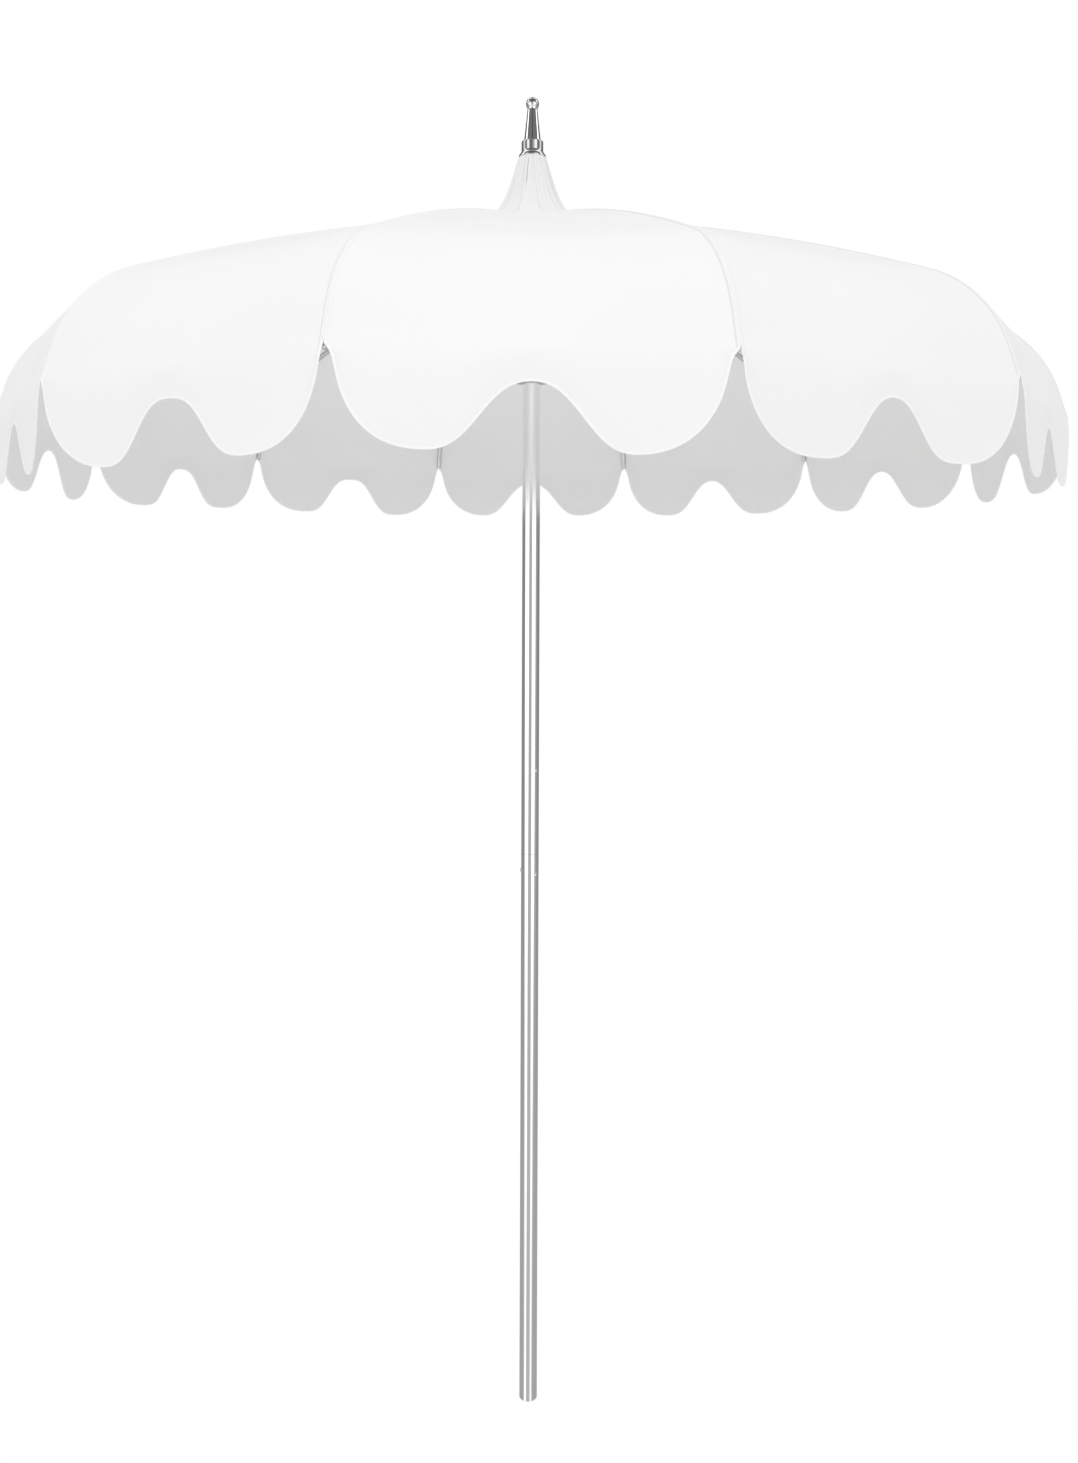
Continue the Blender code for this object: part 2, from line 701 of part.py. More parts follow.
def ring_wire_mesh():
    """A wire bent to as many sides as there are ribs, so that it is straight in each rib's eye."""
    corner = HUB_PIVOT_RADIUS / math.cos(SECTOR / 2)
    mitre = 1 / math.cos(SECTOR / 2)
    angle = np.arange(ROD_SIDES) * 2 * math.pi / ROD_SIDES
    reach = corner + WIRE_RADIUS * mitre * np.cos(angle)
    height = HUB_PIVOT_HEIGHT + WIRE_RADIUS * np.sin(angle)
    turn = FRONT + SECTOR * np.arange(SECTORS)
    points = np.stack(
        [
            reach * np.cos(turn)[:, None],
            reach * np.sin(turn)[:, None],
            height + 0 * turn[:, None],
        ],
        axis=-1,
    ).reshape(-1, 3)
    faces = []
    for i in range(SECTORS):
        a = i * ROD_SIDES
        b = (i + 1) % SECTORS * ROD_SIDES
        for j in range(ROD_SIDES):
            k = (j + 1) % ROD_SIDES
            faces.append((a + j, a + k, b + k, b + j))
    return mesh_from(points, faces, "hub_ring_wire")


def runner_mesh():
    """A moulded runner: a grip rim below, a slotted flange for the struts, and a long sleeve."""
    bore = POLE_RADIUS + RUNNING_GAP
    sleeve = bore + RUNNER_SLEEVE_WALL
    waist = bore + RUNNER_WAIST_WALL
    rim = RUNNER_PIVOT_RADIUS + RUNNER_LIP
    shoulder = rim - RUNNER_SHOULDER_WIDTH
    half = RUNNER_FLANGE_HALF
    grip_top = RUNNER_GRIP_THICKNESS - RUNNER_BOTTOM
    profile = [
        (sleeve - RUNNER_SLEEVE_CHAMFER, RUNNER_SLEEVE_TOP),
        (sleeve, RUNNER_SLEEVE_TOP - RUNNER_SLEEVE_CHAMFER),
        (sleeve, half + RUNNER_UPPER_FILLET),
        (shoulder, half),
        (rim, half),
        (rim, -half),
        (shoulder, -half),
        (waist, -half - RUNNER_LOWER_FILLET),
        (waist, grip_top + RUNNER_GRIP_FILLET),
        (RUNNER_GRIP_RADIUS - RUNNER_GRIP_UPPER_CHAMFER, grip_top),
        (RUNNER_GRIP_RADIUS, grip_top - RUNNER_GRIP_UPPER_CHAMFER),
        (RUNNER_GRIP_RADIUS, RUNNER_GRIP_LOWER_CHAMFER - RUNNER_BOTTOM),
        (RUNNER_GRIP_RADIUS - RUNNER_GRIP_LOWER_CHAMFER, -RUNNER_BOTTOM),
        (bore, -RUNNER_BOTTOM),
        (bore, RUNNER_SLEEVE_TOP),
    ]
    profile = [(r, z + RUNNER_PIVOT_HEIGHT) for r, z in profile]
    slot_half = half + RUNNER_SLOT_PAST_FLANGE
    slots = slot_cutters(RUNNER_PIVOT_RADIUS, RUNNER_PIVOT_HEIGHT, slot_half, slot_half)
    return carved(turned(profile, "runner"), [("DIFFERENCE", slots)])


def catch_path():
    """Side view of the catch, as (out from the pole's axis, height).

    A foot hooked in the wall, a leg up the bore, a ramp out through the wall, and a flat ledge
    on which the runner sits.
    """
    ledge = RUNNER_PIVOT_HEIGHT - RUNNER_BOTTOM - TOUCH_GAP - CATCH_THICKNESS / 2
    ramp_foot = ledge - CATCH_NOSE_LENGTH
    leg = math.sqrt(POLE_BORE**2 - CATCH_WIDTH**2 / 4) - 2 * TOUCH_GAP - CATCH_THICKNESS / 2
    foot = ramp_foot - CATCH_LEG_LENGTH
    nose = POLE_RADIUS + CATCH_STICKOUT - CATCH_THICKNESS
    return [
        (POLE_RADIUS - POLE_WALL / 2, foot),
        (leg, foot),
        (leg, ramp_foot),
        (nose, ledge - CATCH_NOSE_FLAT),
        (nose, ledge),
        (leg - CATCH_RETURN, ledge),
    ]


def catch_mesh():
    """The catch, a bent strip of spring steel on the +Y side of the pole."""
    strip = plate(
        strip_outline(catch_path(), CATCH_THICKNESS), -CATCH_WIDTH / 2, CATCH_WIDTH / 2, "catch_spring"
    )
    return moved(strip, Matrix.Rotation(math.pi / 2, 4, "Z"))


# Pole


def joint_bar(angle, height, radius, name):
    """A cutter through the pole's wall on one side."""
    direction = Vector((math.cos(angle), math.sin(angle), 0))
    centre = Vector((0, 0, height))
    start = centre + direction * SPIGOT_BORE / 2
    return round_bar(start, centre + direction * 2 * POLE_RADIUS, radius, name, BUTTON_SIDES)


def pole_lower_mesh():
    """The lower tube, with the button's hole and the key rivet's hole near its top."""
    body = tube(POLE_RADIUS, POLE_BORE, 0, POLE_JOINT_HEIGHT - TOUCH_GAP / 2, "pole_lower")
    button = joint_bar(math.pi, BUTTON_HEIGHT, BUTTON_DIAMETER / 2 + TOUCH_GAP, "button_hole")
    rivet = joint_bar(
        RIVET_DIRECTION, KEY_RIVET_HEIGHT, RIVET_SHANK + TOUCH_GAP, "rivet_hole"
    )
    return carved(body, [("DIFFERENCE", button), ("DIFFERENCE", rivet)])


def pole_upper_mesh():
    """The upper tube, with holes for the rivet, the hub's pin and the catch."""
    body = tube(
        POLE_RADIUS, POLE_BORE, POLE_JOINT_HEIGHT + TOUCH_GAP / 2, POLE_TOP_HEIGHT, "pole_upper"
    )
    rivet = joint_bar(
        RIVET_DIRECTION, RIVET_HEIGHT, RIVET_SHANK + TOUCH_GAP, "rivet_hole"
    )
    path = catch_path()
    half = CATCH_WIDTH / 2 + TOUCH_GAP
    ledge = path[-1][1]
    foot = path[0][1]
    spans = ((path[2][1], ledge + 2 * CATCH_THICKNESS), (foot - CATCH_THICKNESS, foot + CATCH_THICKNESS))
    nose_slot, foot_slot = (
        block((-half, POLE_BORE / 2, low), (half, 2 * POLE_RADIUS, high), "slot") for low, high in spans
    )
    return carved(
        body,
        [
            ("DIFFERENCE", rivet),
            ("DIFFERENCE", hub_pin_bar(TOUCH_GAP)),
            ("DIFFERENCE", nose_slot),
            ("DIFFERENCE", foot_slot),
        ],
    )


def spigot_mesh():
    """The inner tube of the pole joint, with the button's hole and an open slot for the key rivet."""
    low = BUTTON_HEIGHT - LEAF_DEPTH - SPIGOT_PAST_SPRING
    high = RIVET_HEIGHT + SPIGOT_PAST_RIVET
    body = tube(SPIGOT_RADIUS, SPIGOT_BORE, low, high, "pole_spigot")
    button = joint_bar(math.pi, BUTTON_HEIGHT, BUTTON_DIAMETER / 2 + TOUCH_GAP, "button_hole")
    rivet = joint_bar(
        RIVET_DIRECTION, RIVET_HEIGHT, RIVET_SHANK + TOUCH_GAP, "rivet_hole"
    )
    half = RIVET_TAIL + RUNNING_GAP
    keyway = block(
        (SPIGOT_BORE / 2, -half, low - half),
        (2 * POLE_RADIUS, half, KEY_RIVET_HEIGHT + half),
        "keyway",
    )
    keyway = moved(keyway, Matrix.Rotation(RIVET_DIRECTION, 4, "Z"))
    return carved(body, [("DIFFERENCE", button), ("DIFFERENCE", rivet), ("DIFFERENCE", keyway)])


def domed(radius, rise, seat):
    """Profile of a domed head from its crown down to its rim: a quarter of an ellipse."""
    angles = np.linspace(0, math.pi / 2, DOME_STEPS + 1)
    crown = [(0, seat + rise)]
    return crown + [(radius * math.sin(a), seat + rise * math.cos(a)) for a in angles[1:]]


def rivet_mesh(tail_face, tail_end, angle, height):
    """A rivet through the pole's wall: a domed head outside, a shank, and a set tail inside."""
    seat = POLE_RADIUS + TOUCH_GAP
    profile = domed(RIVET_SHANK + RIVET_HEAD_RIM, RIVET_HEAD_HEIGHT, seat)
    profile += [(RIVET_SHANK, seat), (RIVET_SHANK, tail_face)]
    profile += [(RIVET_TAIL, tail_face), (RIVET_TAIL, tail_end), (0, tail_end)]
    return moved(turned(profile, "rivet", SMALL_SIDES), radial(angle, height))


def button_mesh():
    """The snap button: a domed peg with a flange that stops it behind the spigot's wall."""
    peg = BUTTON_DIAMETER / 2
    flange = peg + BUTTON_FLANGE_WIDTH
    flange_face = math.sqrt(SPIGOT_BORE**2 - flange**2) - 2 * TOUCH_GAP
    flange_back = flange_face - BUTTON_FLANGE_THICKNESS
    profile = domed(peg, BUTTON_STICKOUT, POLE_RADIUS)
    profile += [(peg, flange_face), (flange, flange_face), (flange, flange_back), (0, flange_back)]
    button = turned(profile, "snap_button", BUTTON_SIDES)
    return moved(button, radial(math.pi, BUTTON_HEIGHT)), flange_back


def leaf_mesh(flange_back):
    """The button's spring: a strip bent to a V inside the spigot, one leg on the far wall."""
    near = flange_back - TOUCH_GAP - LEAF_THICKNESS / 2
    far = math.sqrt(SPIGOT_BORE**2 - LEAF_WIDTH**2 / 4) - 2 * TOUCH_GAP - LEAF_THICKNESS / 2
    bottom = BUTTON_HEIGHT - LEAF_DEPTH
    foot_top = BUTTON_HEIGHT + LEAF_FOOT_ABOVE_BUTTON
    path = [
        (-near, BUTTON_HEIGHT + LEAF_SEAT_LENGTH / 2),
        (-near, BUTTON_HEIGHT - LEAF_SEAT_LENGTH / 2),
        (-LEAF_BEND_WIDTH / 2, bottom),
        (-LEAF_BEND_FLAT / 2, bottom - LEAF_BEND_HEIGHT),
        (LEAF_BEND_FLAT / 2, bottom - LEAF_BEND_HEIGHT),
        (LEAF_BEND_WIDTH / 2, bottom),
        (far, foot_top - LEAF_FOOT_LENGTH),
        (far, foot_top),
    ]
    return plate(strip_outline(path, LEAF_THICKNESS), -LEAF_WIDTH / 2, LEAF_WIDTH / 2, "snap_spring")


def foot_plug_mesh():
    """A cup-shaped plug, flush with the end of the lower tube."""
    outer = POLE_BORE - TOUCH_GAP
    inner = outer - FOOT_PLUG_WALL
    profile = [(0, FOOT_PLUG_FLOOR), (inner, FOOT_PLUG_FLOOR), (inner, FOOT_PLUG_DEPTH)]
    profile += [(outer, FOOT_PLUG_DEPTH), (outer, 0), (0, 0)]
    return turned(profile, "foot_plug")


def top_plug_mesh():
    """A flanged plug in the top of the pole, bored for the finial's stud."""
    flange_low = POLE_TOP_HEIGHT + TOUCH_GAP
    flange_high = flange_low + TOP_PLUG_FLANGE
    bore = STUD_DIAMETER / 2 + TOUCH_GAP
    plug = POLE_BORE - TOUCH_GAP
    low = POLE_TOP_HEIGHT - TOP_PLUG_DEPTH
    profile = [(POLE_RADIUS, flange_high), (POLE_RADIUS, flange_low), (plug, flange_low), (plug, low)]
    profile += [(bore, low), (bore, flange_high)]
    return turned(profile, "pole_top_plug")


def collar_mesh():
    """A tapered collar on the pole that the canvas neck is gathered round."""
    high = NECK_TOP_HEIGHT
    bore = POLE_RADIUS + TOUCH_GAP
    foot = bore + COLLAR_FOOT_WALL
    low = high - COLLAR_LENGTH
    profile = [(COLLAR_RADIUS, high), (COLLAR_RADIUS, high - COLLAR_BAND), (foot, low)]
    profile += [(bore, low), (bore, high)]
    return turned(profile, "neck_collar")


def finial_base_mesh():
    """The finial's turned base: a straight collar that flares, by half a cosine wave, to a skirt."""
    bore = STUD_DIAMETER / 2 + TOUCH_GAP
    z = FINIAL_HEIGHT
    skirt = FINIAL_SKIRT_RADIUS
    base = FINIAL_BASE_RADIUS
    top = z + FINIAL_BASE_HEIGHT
    profile = [(bore, top), (base - FINIAL_CHAMFER, top), (base, top - FINIAL_CHAMFER)]
    for share in np.linspace(0, 1, SKIRT_STEPS + 1):
        flare = (1 - math.cos(math.pi * share)) / 2
        fall = (FINIAL_SKIRT_HEIGHT - FINIAL_SKIRT_RIM) * share
        profile.append((base + (skirt - base) * flare, z + FINIAL_SKIRT_HEIGHT - fall))
    profile += [(skirt, z), (bore, z)]
    return turned(profile, "finial_base")


def finial_stem_mesh():
    """The finial's turned stem: a long taper with a ball on top, bored for the stud."""
    bore = STUD_DIAMETER / 2 + TOUCH_GAP
    low = FINIAL_HEIGHT + FINIAL_BASE_HEIGHT + TOUCH_GAP
    high = low + FINIAL_STEM_LENGTH
    neck = math.asin(FINIAL_STEM_TOP_RADIUS / FINIAL_BALL_RADIUS)
    centre = high + FINIAL_BALL_RADIUS * math.cos(neck)
    profile = [(0, centre + FINIAL_BALL_RADIUS)]
    for angle in np.linspace(0, math.pi - neck, BALL_STEPS + 1)[1:]:
        reach = FINIAL_BALL_RADIUS * math.sin(angle)
        profile.append((reach, centre + FINIAL_BALL_RADIUS * math.cos(angle)))
    profile += [(FINIAL_STEM_RADIUS, low + FINIAL_CHAMFER), (FINIAL_STEM_RADIUS - FINIAL_CHAMFER, low)]
    profile.append((bore, low))
    profile += [(bore, low + STUD_DEPTH_IN_STEM), (0, low + STUD_DEPTH_IN_STEM)]
    return turned(profile, "finial_stem")


def stud_mesh():
    """The stud that draws the finial down on the neck."""
    low = POLE_TOP_HEIGHT - TOP_PLUG_DEPTH
    high = FINIAL_HEIGHT + FINIAL_BASE_HEIGHT + STUD_DEPTH_IN_STEM
    return round_bar((0, 0, low), (0, 0, high), STUD_DIAMETER / 2, "finial_stud")


# Assembly


def build_pole(steel, aluminium, chrome, nylon):
    """The fixed pole: its tubes, joint, plugs, collar, finial and hub."""
    add_piece("pole_lower", pole_lower_mesh(), aluminium)
    add_piece("pole_upper", pole_upper_mesh(), aluminium)
    add_piece("pole_spigot", spigot_mesh(), aluminium)
    add_piece("foot_plug", foot_plug_mesh(), nylon)
    spigot_face = math.sqrt(SPIGOT_BORE**2 - RIVET_TAIL**2) - TOUCH_GAP
    add_piece(
        "spigot_rivet",
        rivet_mesh(spigot_face, spigot_face - RIVET_TAIL_LENGTH, RIVET_DIRECTION, RIVET_HEIGHT),
        chrome,
    )
    key_face = math.sqrt(POLE_BORE**2 - RIVET_TAIL**2) - TOUCH_GAP
    add_piece(
        "key_rivet",
        rivet_mesh(key_face, key_face - RIVET_TAIL_LENGTH, RIVET_DIRECTION, KEY_RIVET_HEIGHT),
        chrome,
    )
    button, flange_back = button_mesh()
    button_axis = add_axis("snap_button_axis", (-POLE_RADIUS, 0, BUTTON_HEIGHT))
    button.transform(Matrix.Translation((POLE_RADIUS, 0, -BUTTON_HEIGHT)))
    add_piece("snap_button", button, chrome, button_axis)
    add_piece("snap_spring", leaf_mesh(flange_back), steel)
    add_piece("catch_spring", catch_mesh(), steel)
    add_piece("top_hub", hub_mesh(), nylon)
    add_piece("hub_ring_wire", ring_wire_mesh(), steel)
    add_piece("hub_pin", hub_pin_bar(0), steel)
    add_piece("neck_collar", collar_mesh(), nylon)
    add_piece("pole_top_plug", top_plug_mesh(), nylon)
    add_piece("finial_stud", stud_mesh(), steel)
    add_piece("finial_base", finial_base_mesh(), chrome)
    add_piece("finial_stem", finial_stem_mesh(), chrome)


def build_canopy(steel, nylon, canvas):
    """The runner, and in each sector a rib on the hub, its strut and its gore."""
    runner_axis = add_axis("runner_axis", (0, 0, RUNNER_PIVOT_HEIGHT))
    runner = runner_mesh()
    runner.transform(Matrix.Translation((0, 0, -RUNNER_PIVOT_HEIGHT)))
    add_piece("runner", runner, nylon, runner_axis)
    add_piece("canopy_neck", neck_mesh(), canvas)
    rib = rib_mesh()
    strut = strut_mesh()
    gore = gore_mesh()
    clip_out, clip_up = clip_pivot()
    from_pole = Matrix.Translation((-HUB_PIVOT_RADIUS, 0, -HUB_PIVOT_HEIGHT))
    moved(gore, from_pole @ Matrix.Rotation(SECTOR / 2, 4, "Z"))
    for index in range(SECTORS):
        turn = rib_turn(index)
        out = Vector((math.cos(turn), math.sin(turn), 0))
        pivot = out * HUB_PIVOT_RADIUS + Vector((0, 0, HUB_PIVOT_HEIGHT))
        hub_axis = add_axis(f"rib_axis_{index + 1:02d}", pivot, turn)
        clip_axis = add_axis(f"strut_axis_{index + 1:02d}", (clip_out, 0, clip_up), 0, hub_axis)
        add_piece(f"rib_{index + 1:02d}", rib, steel, hub_axis)
        add_piece(f"strut_{index + 1:02d}", strut, steel, clip_axis)
        add_piece(f"canopy_gore_{index + 1:02d}", gore, canvas, hub_axis)


for old in list(bpy.data.objects):
    bpy.data.objects.remove(old)

ALUMINIUM = finish("polished_aluminium", (0.78, 0.79, 0.80), 0.22, 1.0)
STEEL = finish("grey_metal", (0.42, 0.43, 0.44), 0.35, 1.0)
CHROME = finish("bright_chrome", (0.86, 0.87, 0.88), 0.06, 1.0)
NYLON = finish("grey_nylon", (0.30, 0.31, 0.32), 0.55, 0.0)
CANVAS = finish("white_canvas", (0.90, 0.90, 0.89), 0.85, 0.0)

build_pole(STEEL, ALUMINIUM, CHROME, NYLON)
build_canopy(STEEL, NYLON, CANVAS)
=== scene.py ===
"""Looks of a garden parasol: a scalloped pagoda canopy of white canvas on a two-piece pole."""

import json
import math

import bmesh
import bpy
import numpy as np
from mathutils import Matrix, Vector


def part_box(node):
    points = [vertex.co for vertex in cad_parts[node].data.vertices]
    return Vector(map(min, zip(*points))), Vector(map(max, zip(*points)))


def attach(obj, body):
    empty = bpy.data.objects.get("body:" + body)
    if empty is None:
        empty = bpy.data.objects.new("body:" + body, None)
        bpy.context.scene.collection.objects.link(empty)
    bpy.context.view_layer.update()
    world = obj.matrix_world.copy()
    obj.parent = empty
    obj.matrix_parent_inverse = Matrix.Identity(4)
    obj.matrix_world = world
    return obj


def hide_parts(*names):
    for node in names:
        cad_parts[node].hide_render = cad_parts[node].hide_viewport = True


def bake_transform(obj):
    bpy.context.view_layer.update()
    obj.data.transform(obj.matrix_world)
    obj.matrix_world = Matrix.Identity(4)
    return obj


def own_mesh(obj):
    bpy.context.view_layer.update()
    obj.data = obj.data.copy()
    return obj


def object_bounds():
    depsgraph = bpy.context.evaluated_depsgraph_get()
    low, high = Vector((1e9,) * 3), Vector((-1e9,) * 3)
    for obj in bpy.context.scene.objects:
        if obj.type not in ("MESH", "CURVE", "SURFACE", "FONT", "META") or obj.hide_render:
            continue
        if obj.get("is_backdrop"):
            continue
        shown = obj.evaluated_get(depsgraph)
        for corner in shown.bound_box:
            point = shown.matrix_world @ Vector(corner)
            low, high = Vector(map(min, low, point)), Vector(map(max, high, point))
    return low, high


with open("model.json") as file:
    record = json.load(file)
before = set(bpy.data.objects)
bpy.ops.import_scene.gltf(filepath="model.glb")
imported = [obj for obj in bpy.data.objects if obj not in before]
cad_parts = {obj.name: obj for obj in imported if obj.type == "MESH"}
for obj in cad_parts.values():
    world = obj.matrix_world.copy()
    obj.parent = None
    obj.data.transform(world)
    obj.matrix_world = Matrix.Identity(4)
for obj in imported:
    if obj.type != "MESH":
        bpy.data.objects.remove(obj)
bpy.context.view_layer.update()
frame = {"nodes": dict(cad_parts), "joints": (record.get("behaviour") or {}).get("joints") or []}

joints = {joint["name"]: joint for joint in frame["joints"]}

# Lower pole: a drawn aluminium tube, polished to a satin sheen and cut square at both ends. Its wall
# is bored on the left for the snap button and in front for the key rivet.

POLE_WALL = 0.0015
POLE_SIDES = 96
EDGE_BREAK = 0.0004
BUTTON_HOLE = 0.0043
RIVET_HOLE = 0.0019
HOLE_MARGIN = 0.012
RIVET_ANGLE = math.radians(-45.0)


class Number:
    """A value in a node tree. Sums, products and powers of Numbers add Math nodes to the tree."""

    def __init__(self, nodes, socket):
        self.nodes = nodes
        self.socket = socket

    def math(self, operation, *others):
        return self.nodes.add("ShaderNodeMath", {"operation": operation}, dict(enumerate((self, *others))))

    def __add__(self, other):
        return self.math("ADD", other)

    def __mul__(self, other):
        return self.math("MULTIPLY", other)

    def __sub__(self, other):
        return self.math("SUBTRACT", other)

    def __rsub__(self, other):
        return self * -1.0 + other

    def __truediv__(self, other):
        return self.math("DIVIDE", other)

    def __pow__(self, other):
        return self.math("POWER", other)

    def __abs__(self):
        return self.math("ABSOLUTE")

    __radd__ = __add__
    __rmul__ = __mul__

    def sine(self):
        return self.math("SINE")

    def step(self, low, high):
        """0 below low, 1 above high, and a smooth climb between them."""
        return self.nodes.add(
            "ShaderNodeMapRange",
            {"interpolation_type": "SMOOTHSTEP"},
            {"Value": self, "From Min": low, "From Max": high},
        )


class Nodes:
    """A node tree to which any node can be added."""

    def __init__(self, tree):
        self.tree = tree

    def add(self, kind, settings=None, sockets=None, output=0):
        """A node of a kind, with its settings made before its sockets are set or linked."""
        node = self.tree.nodes.new(kind)
        for name, value in (settings or {}).items():
            setattr(node, name, value)
        for name, value in (sockets or {}).items():
            self.feed(node.inputs[name], value)
        return Number(self, node.outputs[output])

    def feed(self, socket, value):
        """Link a Number to a socket, or set the socket to a plain value."""
        if isinstance(value, Number):
            self.tree.links.new(value.socket, socket)
        else:
            socket.default_value = value

    def noise(self, place, scale, detail=2.0):
        """Noise over a place that is first stretched by a scale on each axis."""
        place = self.add("ShaderNodeMapping", {}, {"Vector": place, "Scale": scale})
        return self.add("ShaderNodeTexNoise", {}, {"Vector": place, "Scale": 1.0, "Detail": detail})

    def mix(self, share, first, second):
        """A colour between two colours."""
        first = first if isinstance(first, Number) else (*first, 1)
        second = second if isinstance(second, Number) else (*second, 1)
        return self.add(
            "ShaderNodeMix", {"data_type": "RGBA"}, {0: share, 6: first, 7: second}, output=2
        )


class Finish(Nodes):
    """A material with one Principled shader, whose fixed values sit on the shader's own sockets."""

    def __init__(self, name, fixed):
        self.material = bpy.data.materials.new(name)
        self.material.use_nodes = True
        super().__init__(self.material.node_tree)
        self.shader = self.tree.nodes["Principled BSDF"]
        for socket, value in fixed.items():
            self.shader.inputs[socket].default_value = value

    def vary(self, socket, value):
        self.feed(self.shader.inputs[socket], value)

    def bump(self, height, distance, strength=1.0):
        self.vary(
            "Normal",
            self.add("ShaderNodeBump", {}, {"Height": height, "Distance": distance, "Strength": strength}),
        )

    def place(self):
        return self.add("ShaderNodeTexCoord", output="Object")


def metal(name, dark, light, smooth, rough, grain, relief, fixed=None):
    """Metal with fine lines along its grain: they vary its colour, polish and surface."""
    finish = Finish(name, {"Metallic": 1.0, **(fixed or {})})
    lines = finish.noise(finish.place(), grain, 3.0)
    clouds = finish.noise(finish.place(), (35.0, 35.0, 20.0))
    finish.vary("Base Color", finish.mix(lines.step(0.3, 0.7), dark, light))
    finish.vary("Roughness", smooth + (rough - smooth) * (0.5 * lines + 0.5 * clouds.step(0.35, 0.75)))
    finish.bump(lines, relief, 0.3)
    return finish.material


def eased(profile, reach, steps=4, ring=True):
    """The profile with each corner off the axis replaced by a parabola from a short reach before it to
    the same reach after it, or less where the sides are short. A point past each end of the parabola
    keeps the sides straight. Without ring the profile's first and last points stay as they are."""
    profile = np.asarray(profile, float)
    before = np.roll(profile, 1, 0) - profile
    after = np.roll(profile, -1, 0) - profile
    turn = np.abs(before[:, 0] * after[:, 1] - before[:, 1] * after[:, 0])
    sharp = (turn > 1e-9) & (profile[:, 0] > 1e-9)
    sharp[[0, -1]] &= ring
    length = [np.linalg.norm(side, axis=1)[:, None] for side in (before, after)]
    reach = np.minimum(reach, 0.3 * np.minimum(*length))
    start = before / length[0] * reach
    end = after / length[1] * reach
    share = np.linspace(0, 1, steps)[:, None, None]
    arcs = profile + (1 - share) ** 2 * start + share**2 * end
    arcs = np.concatenate([[profile + 1.5 * start], arcs, [profile + 1.5 * end]])
    return np.concatenate([arcs[:, i] if sharp[i] else profile[i : i + 1] for i in range(len(profile))])


def turned(profile, sides, start=0.0):
    """A grid of a profile of (radius, height) turned about Z: x = r cos(angle), y = r sin(angle)."""
    radius, height = np.asarray(profile, float).T
    angle = start + 2 * math.pi * np.arange(sides) / sides
    return np.stack(
        [radius[:, None] * np.cos(angle), radius[:, None] * np.sin(angle), height[:, None] + 0 * angle], -1
    )


def aimed(grid, origin, direction):
    """A grid turned about Z, carried so that its axis leaves an origin in a direction."""
    along = np.asarray(direction, float) / np.linalg.norm(direction)
    helper = np.array([0.0, 0.0, 1.0]) if abs(along[2]) < 0.9 else np.array([1.0, 0.0, 0.0])
    across = np.cross(helper, along)
    across /= np.linalg.norm(across)
    return np.asarray(origin) + grid @ np.stack([across, np.cross(along, across), along])


def quads(rows, columns, loop):
    """The faces of a grid whose columns close into a ring, and whose rows do too if it is a loop."""
    number = np.arange(rows * columns).reshape(rows, columns)
    number = np.concatenate([number, number[:, :1]], 1)
    if loop:
        number = np.concatenate([number, number[:1]], 0)
    return np.stack([number[:-1, :-1], number[:-1, 1:], number[1:, 1:], number[1:, :-1]], -1).reshape(-1, 4)


def shaded(mesh, angle=35.0):
    """The mesh with doubled points merged, faces turned outwards, and smooth but for its sharp edges."""
    bm = bmesh.new()
    bm.from_mesh(mesh)
    bmesh.ops.remove_doubles(bm, verts=bm.verts, dist=1e-6)
    bmesh.ops.recalc_face_normals(bm, faces=bm.faces)
    bm.to_mesh(mesh)
    bm.free()
    mesh.shade_smooth()
    mesh.set_sharp_from_angle(angle=math.radians(angle))
    return mesh


def placed(name, data):
    """A new object in the scene for a mesh, a lamp or a camera."""
    piece = bpy.data.objects.new(name, data)
    bpy.context.scene.collection.objects.link(piece)
    return piece


def solid(name, *grids, loop=False, angle=35.0):
    """An object from one or more closed grids."""
    points = np.concatenate([grid.reshape(-1, 3) for grid in grids])
    first = np.cumsum([0] + [grid.shape[0] * grid.shape[1] for grid in grids])
    faces = np.concatenate([quads(*g.shape[:2], loop) + f for g, f in zip(grids, first)])
    mesh = bpy.data.meshes.new(name)
    mesh.from_pydata(points, [], faces.tolist())
    return placed(name, shaded(mesh, angle))


def cut(piece, *tools):
    """The piece with other solids taken out of it."""
    for tool in tools:
        modifier = piece.modifiers.new("cut", "BOOLEAN")
        modifier.operation = "DIFFERENCE"
        modifier.solver = "EXACT"
        modifier.object = tool
    graph = bpy.context.evaluated_depsgraph_get()
    mesh = bpy.data.meshes.new_from_object(piece.evaluated_get(graph))
    piece.modifiers.clear()
    piece.data = shaded(mesh)
    for tool in tools:
        bpy.data.objects.remove(tool)
    return piece


def fitted(piece, material, slot, body, *nodes):
    """The piece with its material, riding on a body in the place of CAD nodes. Its slot is not used."""
    piece.data.materials.clear()
    piece.data.materials.append(material)
    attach(piece, body)
    if nodes:
        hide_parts(*nodes)
    return piece


def middle(node):
    """The middle of a CAD node's box."""
    low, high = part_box(node)
    return (np.array(low) + np.array(high)) / 2


def drill(radius, height, angle, sides=24):
    """A round cutter through the pole's wall on one side."""
    profile = [(0, 0), (radius, 0), (radius, 0.05), (0, 0.05)]
    direction = (math.cos(angle), math.sin(angle), 0)
    return solid("drill", aimed(turned(profile, sides), (0, 0, height), direction))


def tube(name, low, high, holes):
    """A tube from low to high, with rows above and below each hole so that its cut stays local."""
    heights = [low, *sorted(h + side for h in holes for side in (-HOLE_MARGIN, HOLE_MARGIN)), high]
    outer = [(pole_radius, z) for z in heights]
    inner = [(pole_radius - POLE_WALL, z) for z in reversed(heights)]
    return solid(name, turned(eased(outer + inner, EDGE_BREAK), POLE_SIDES), loop=True)


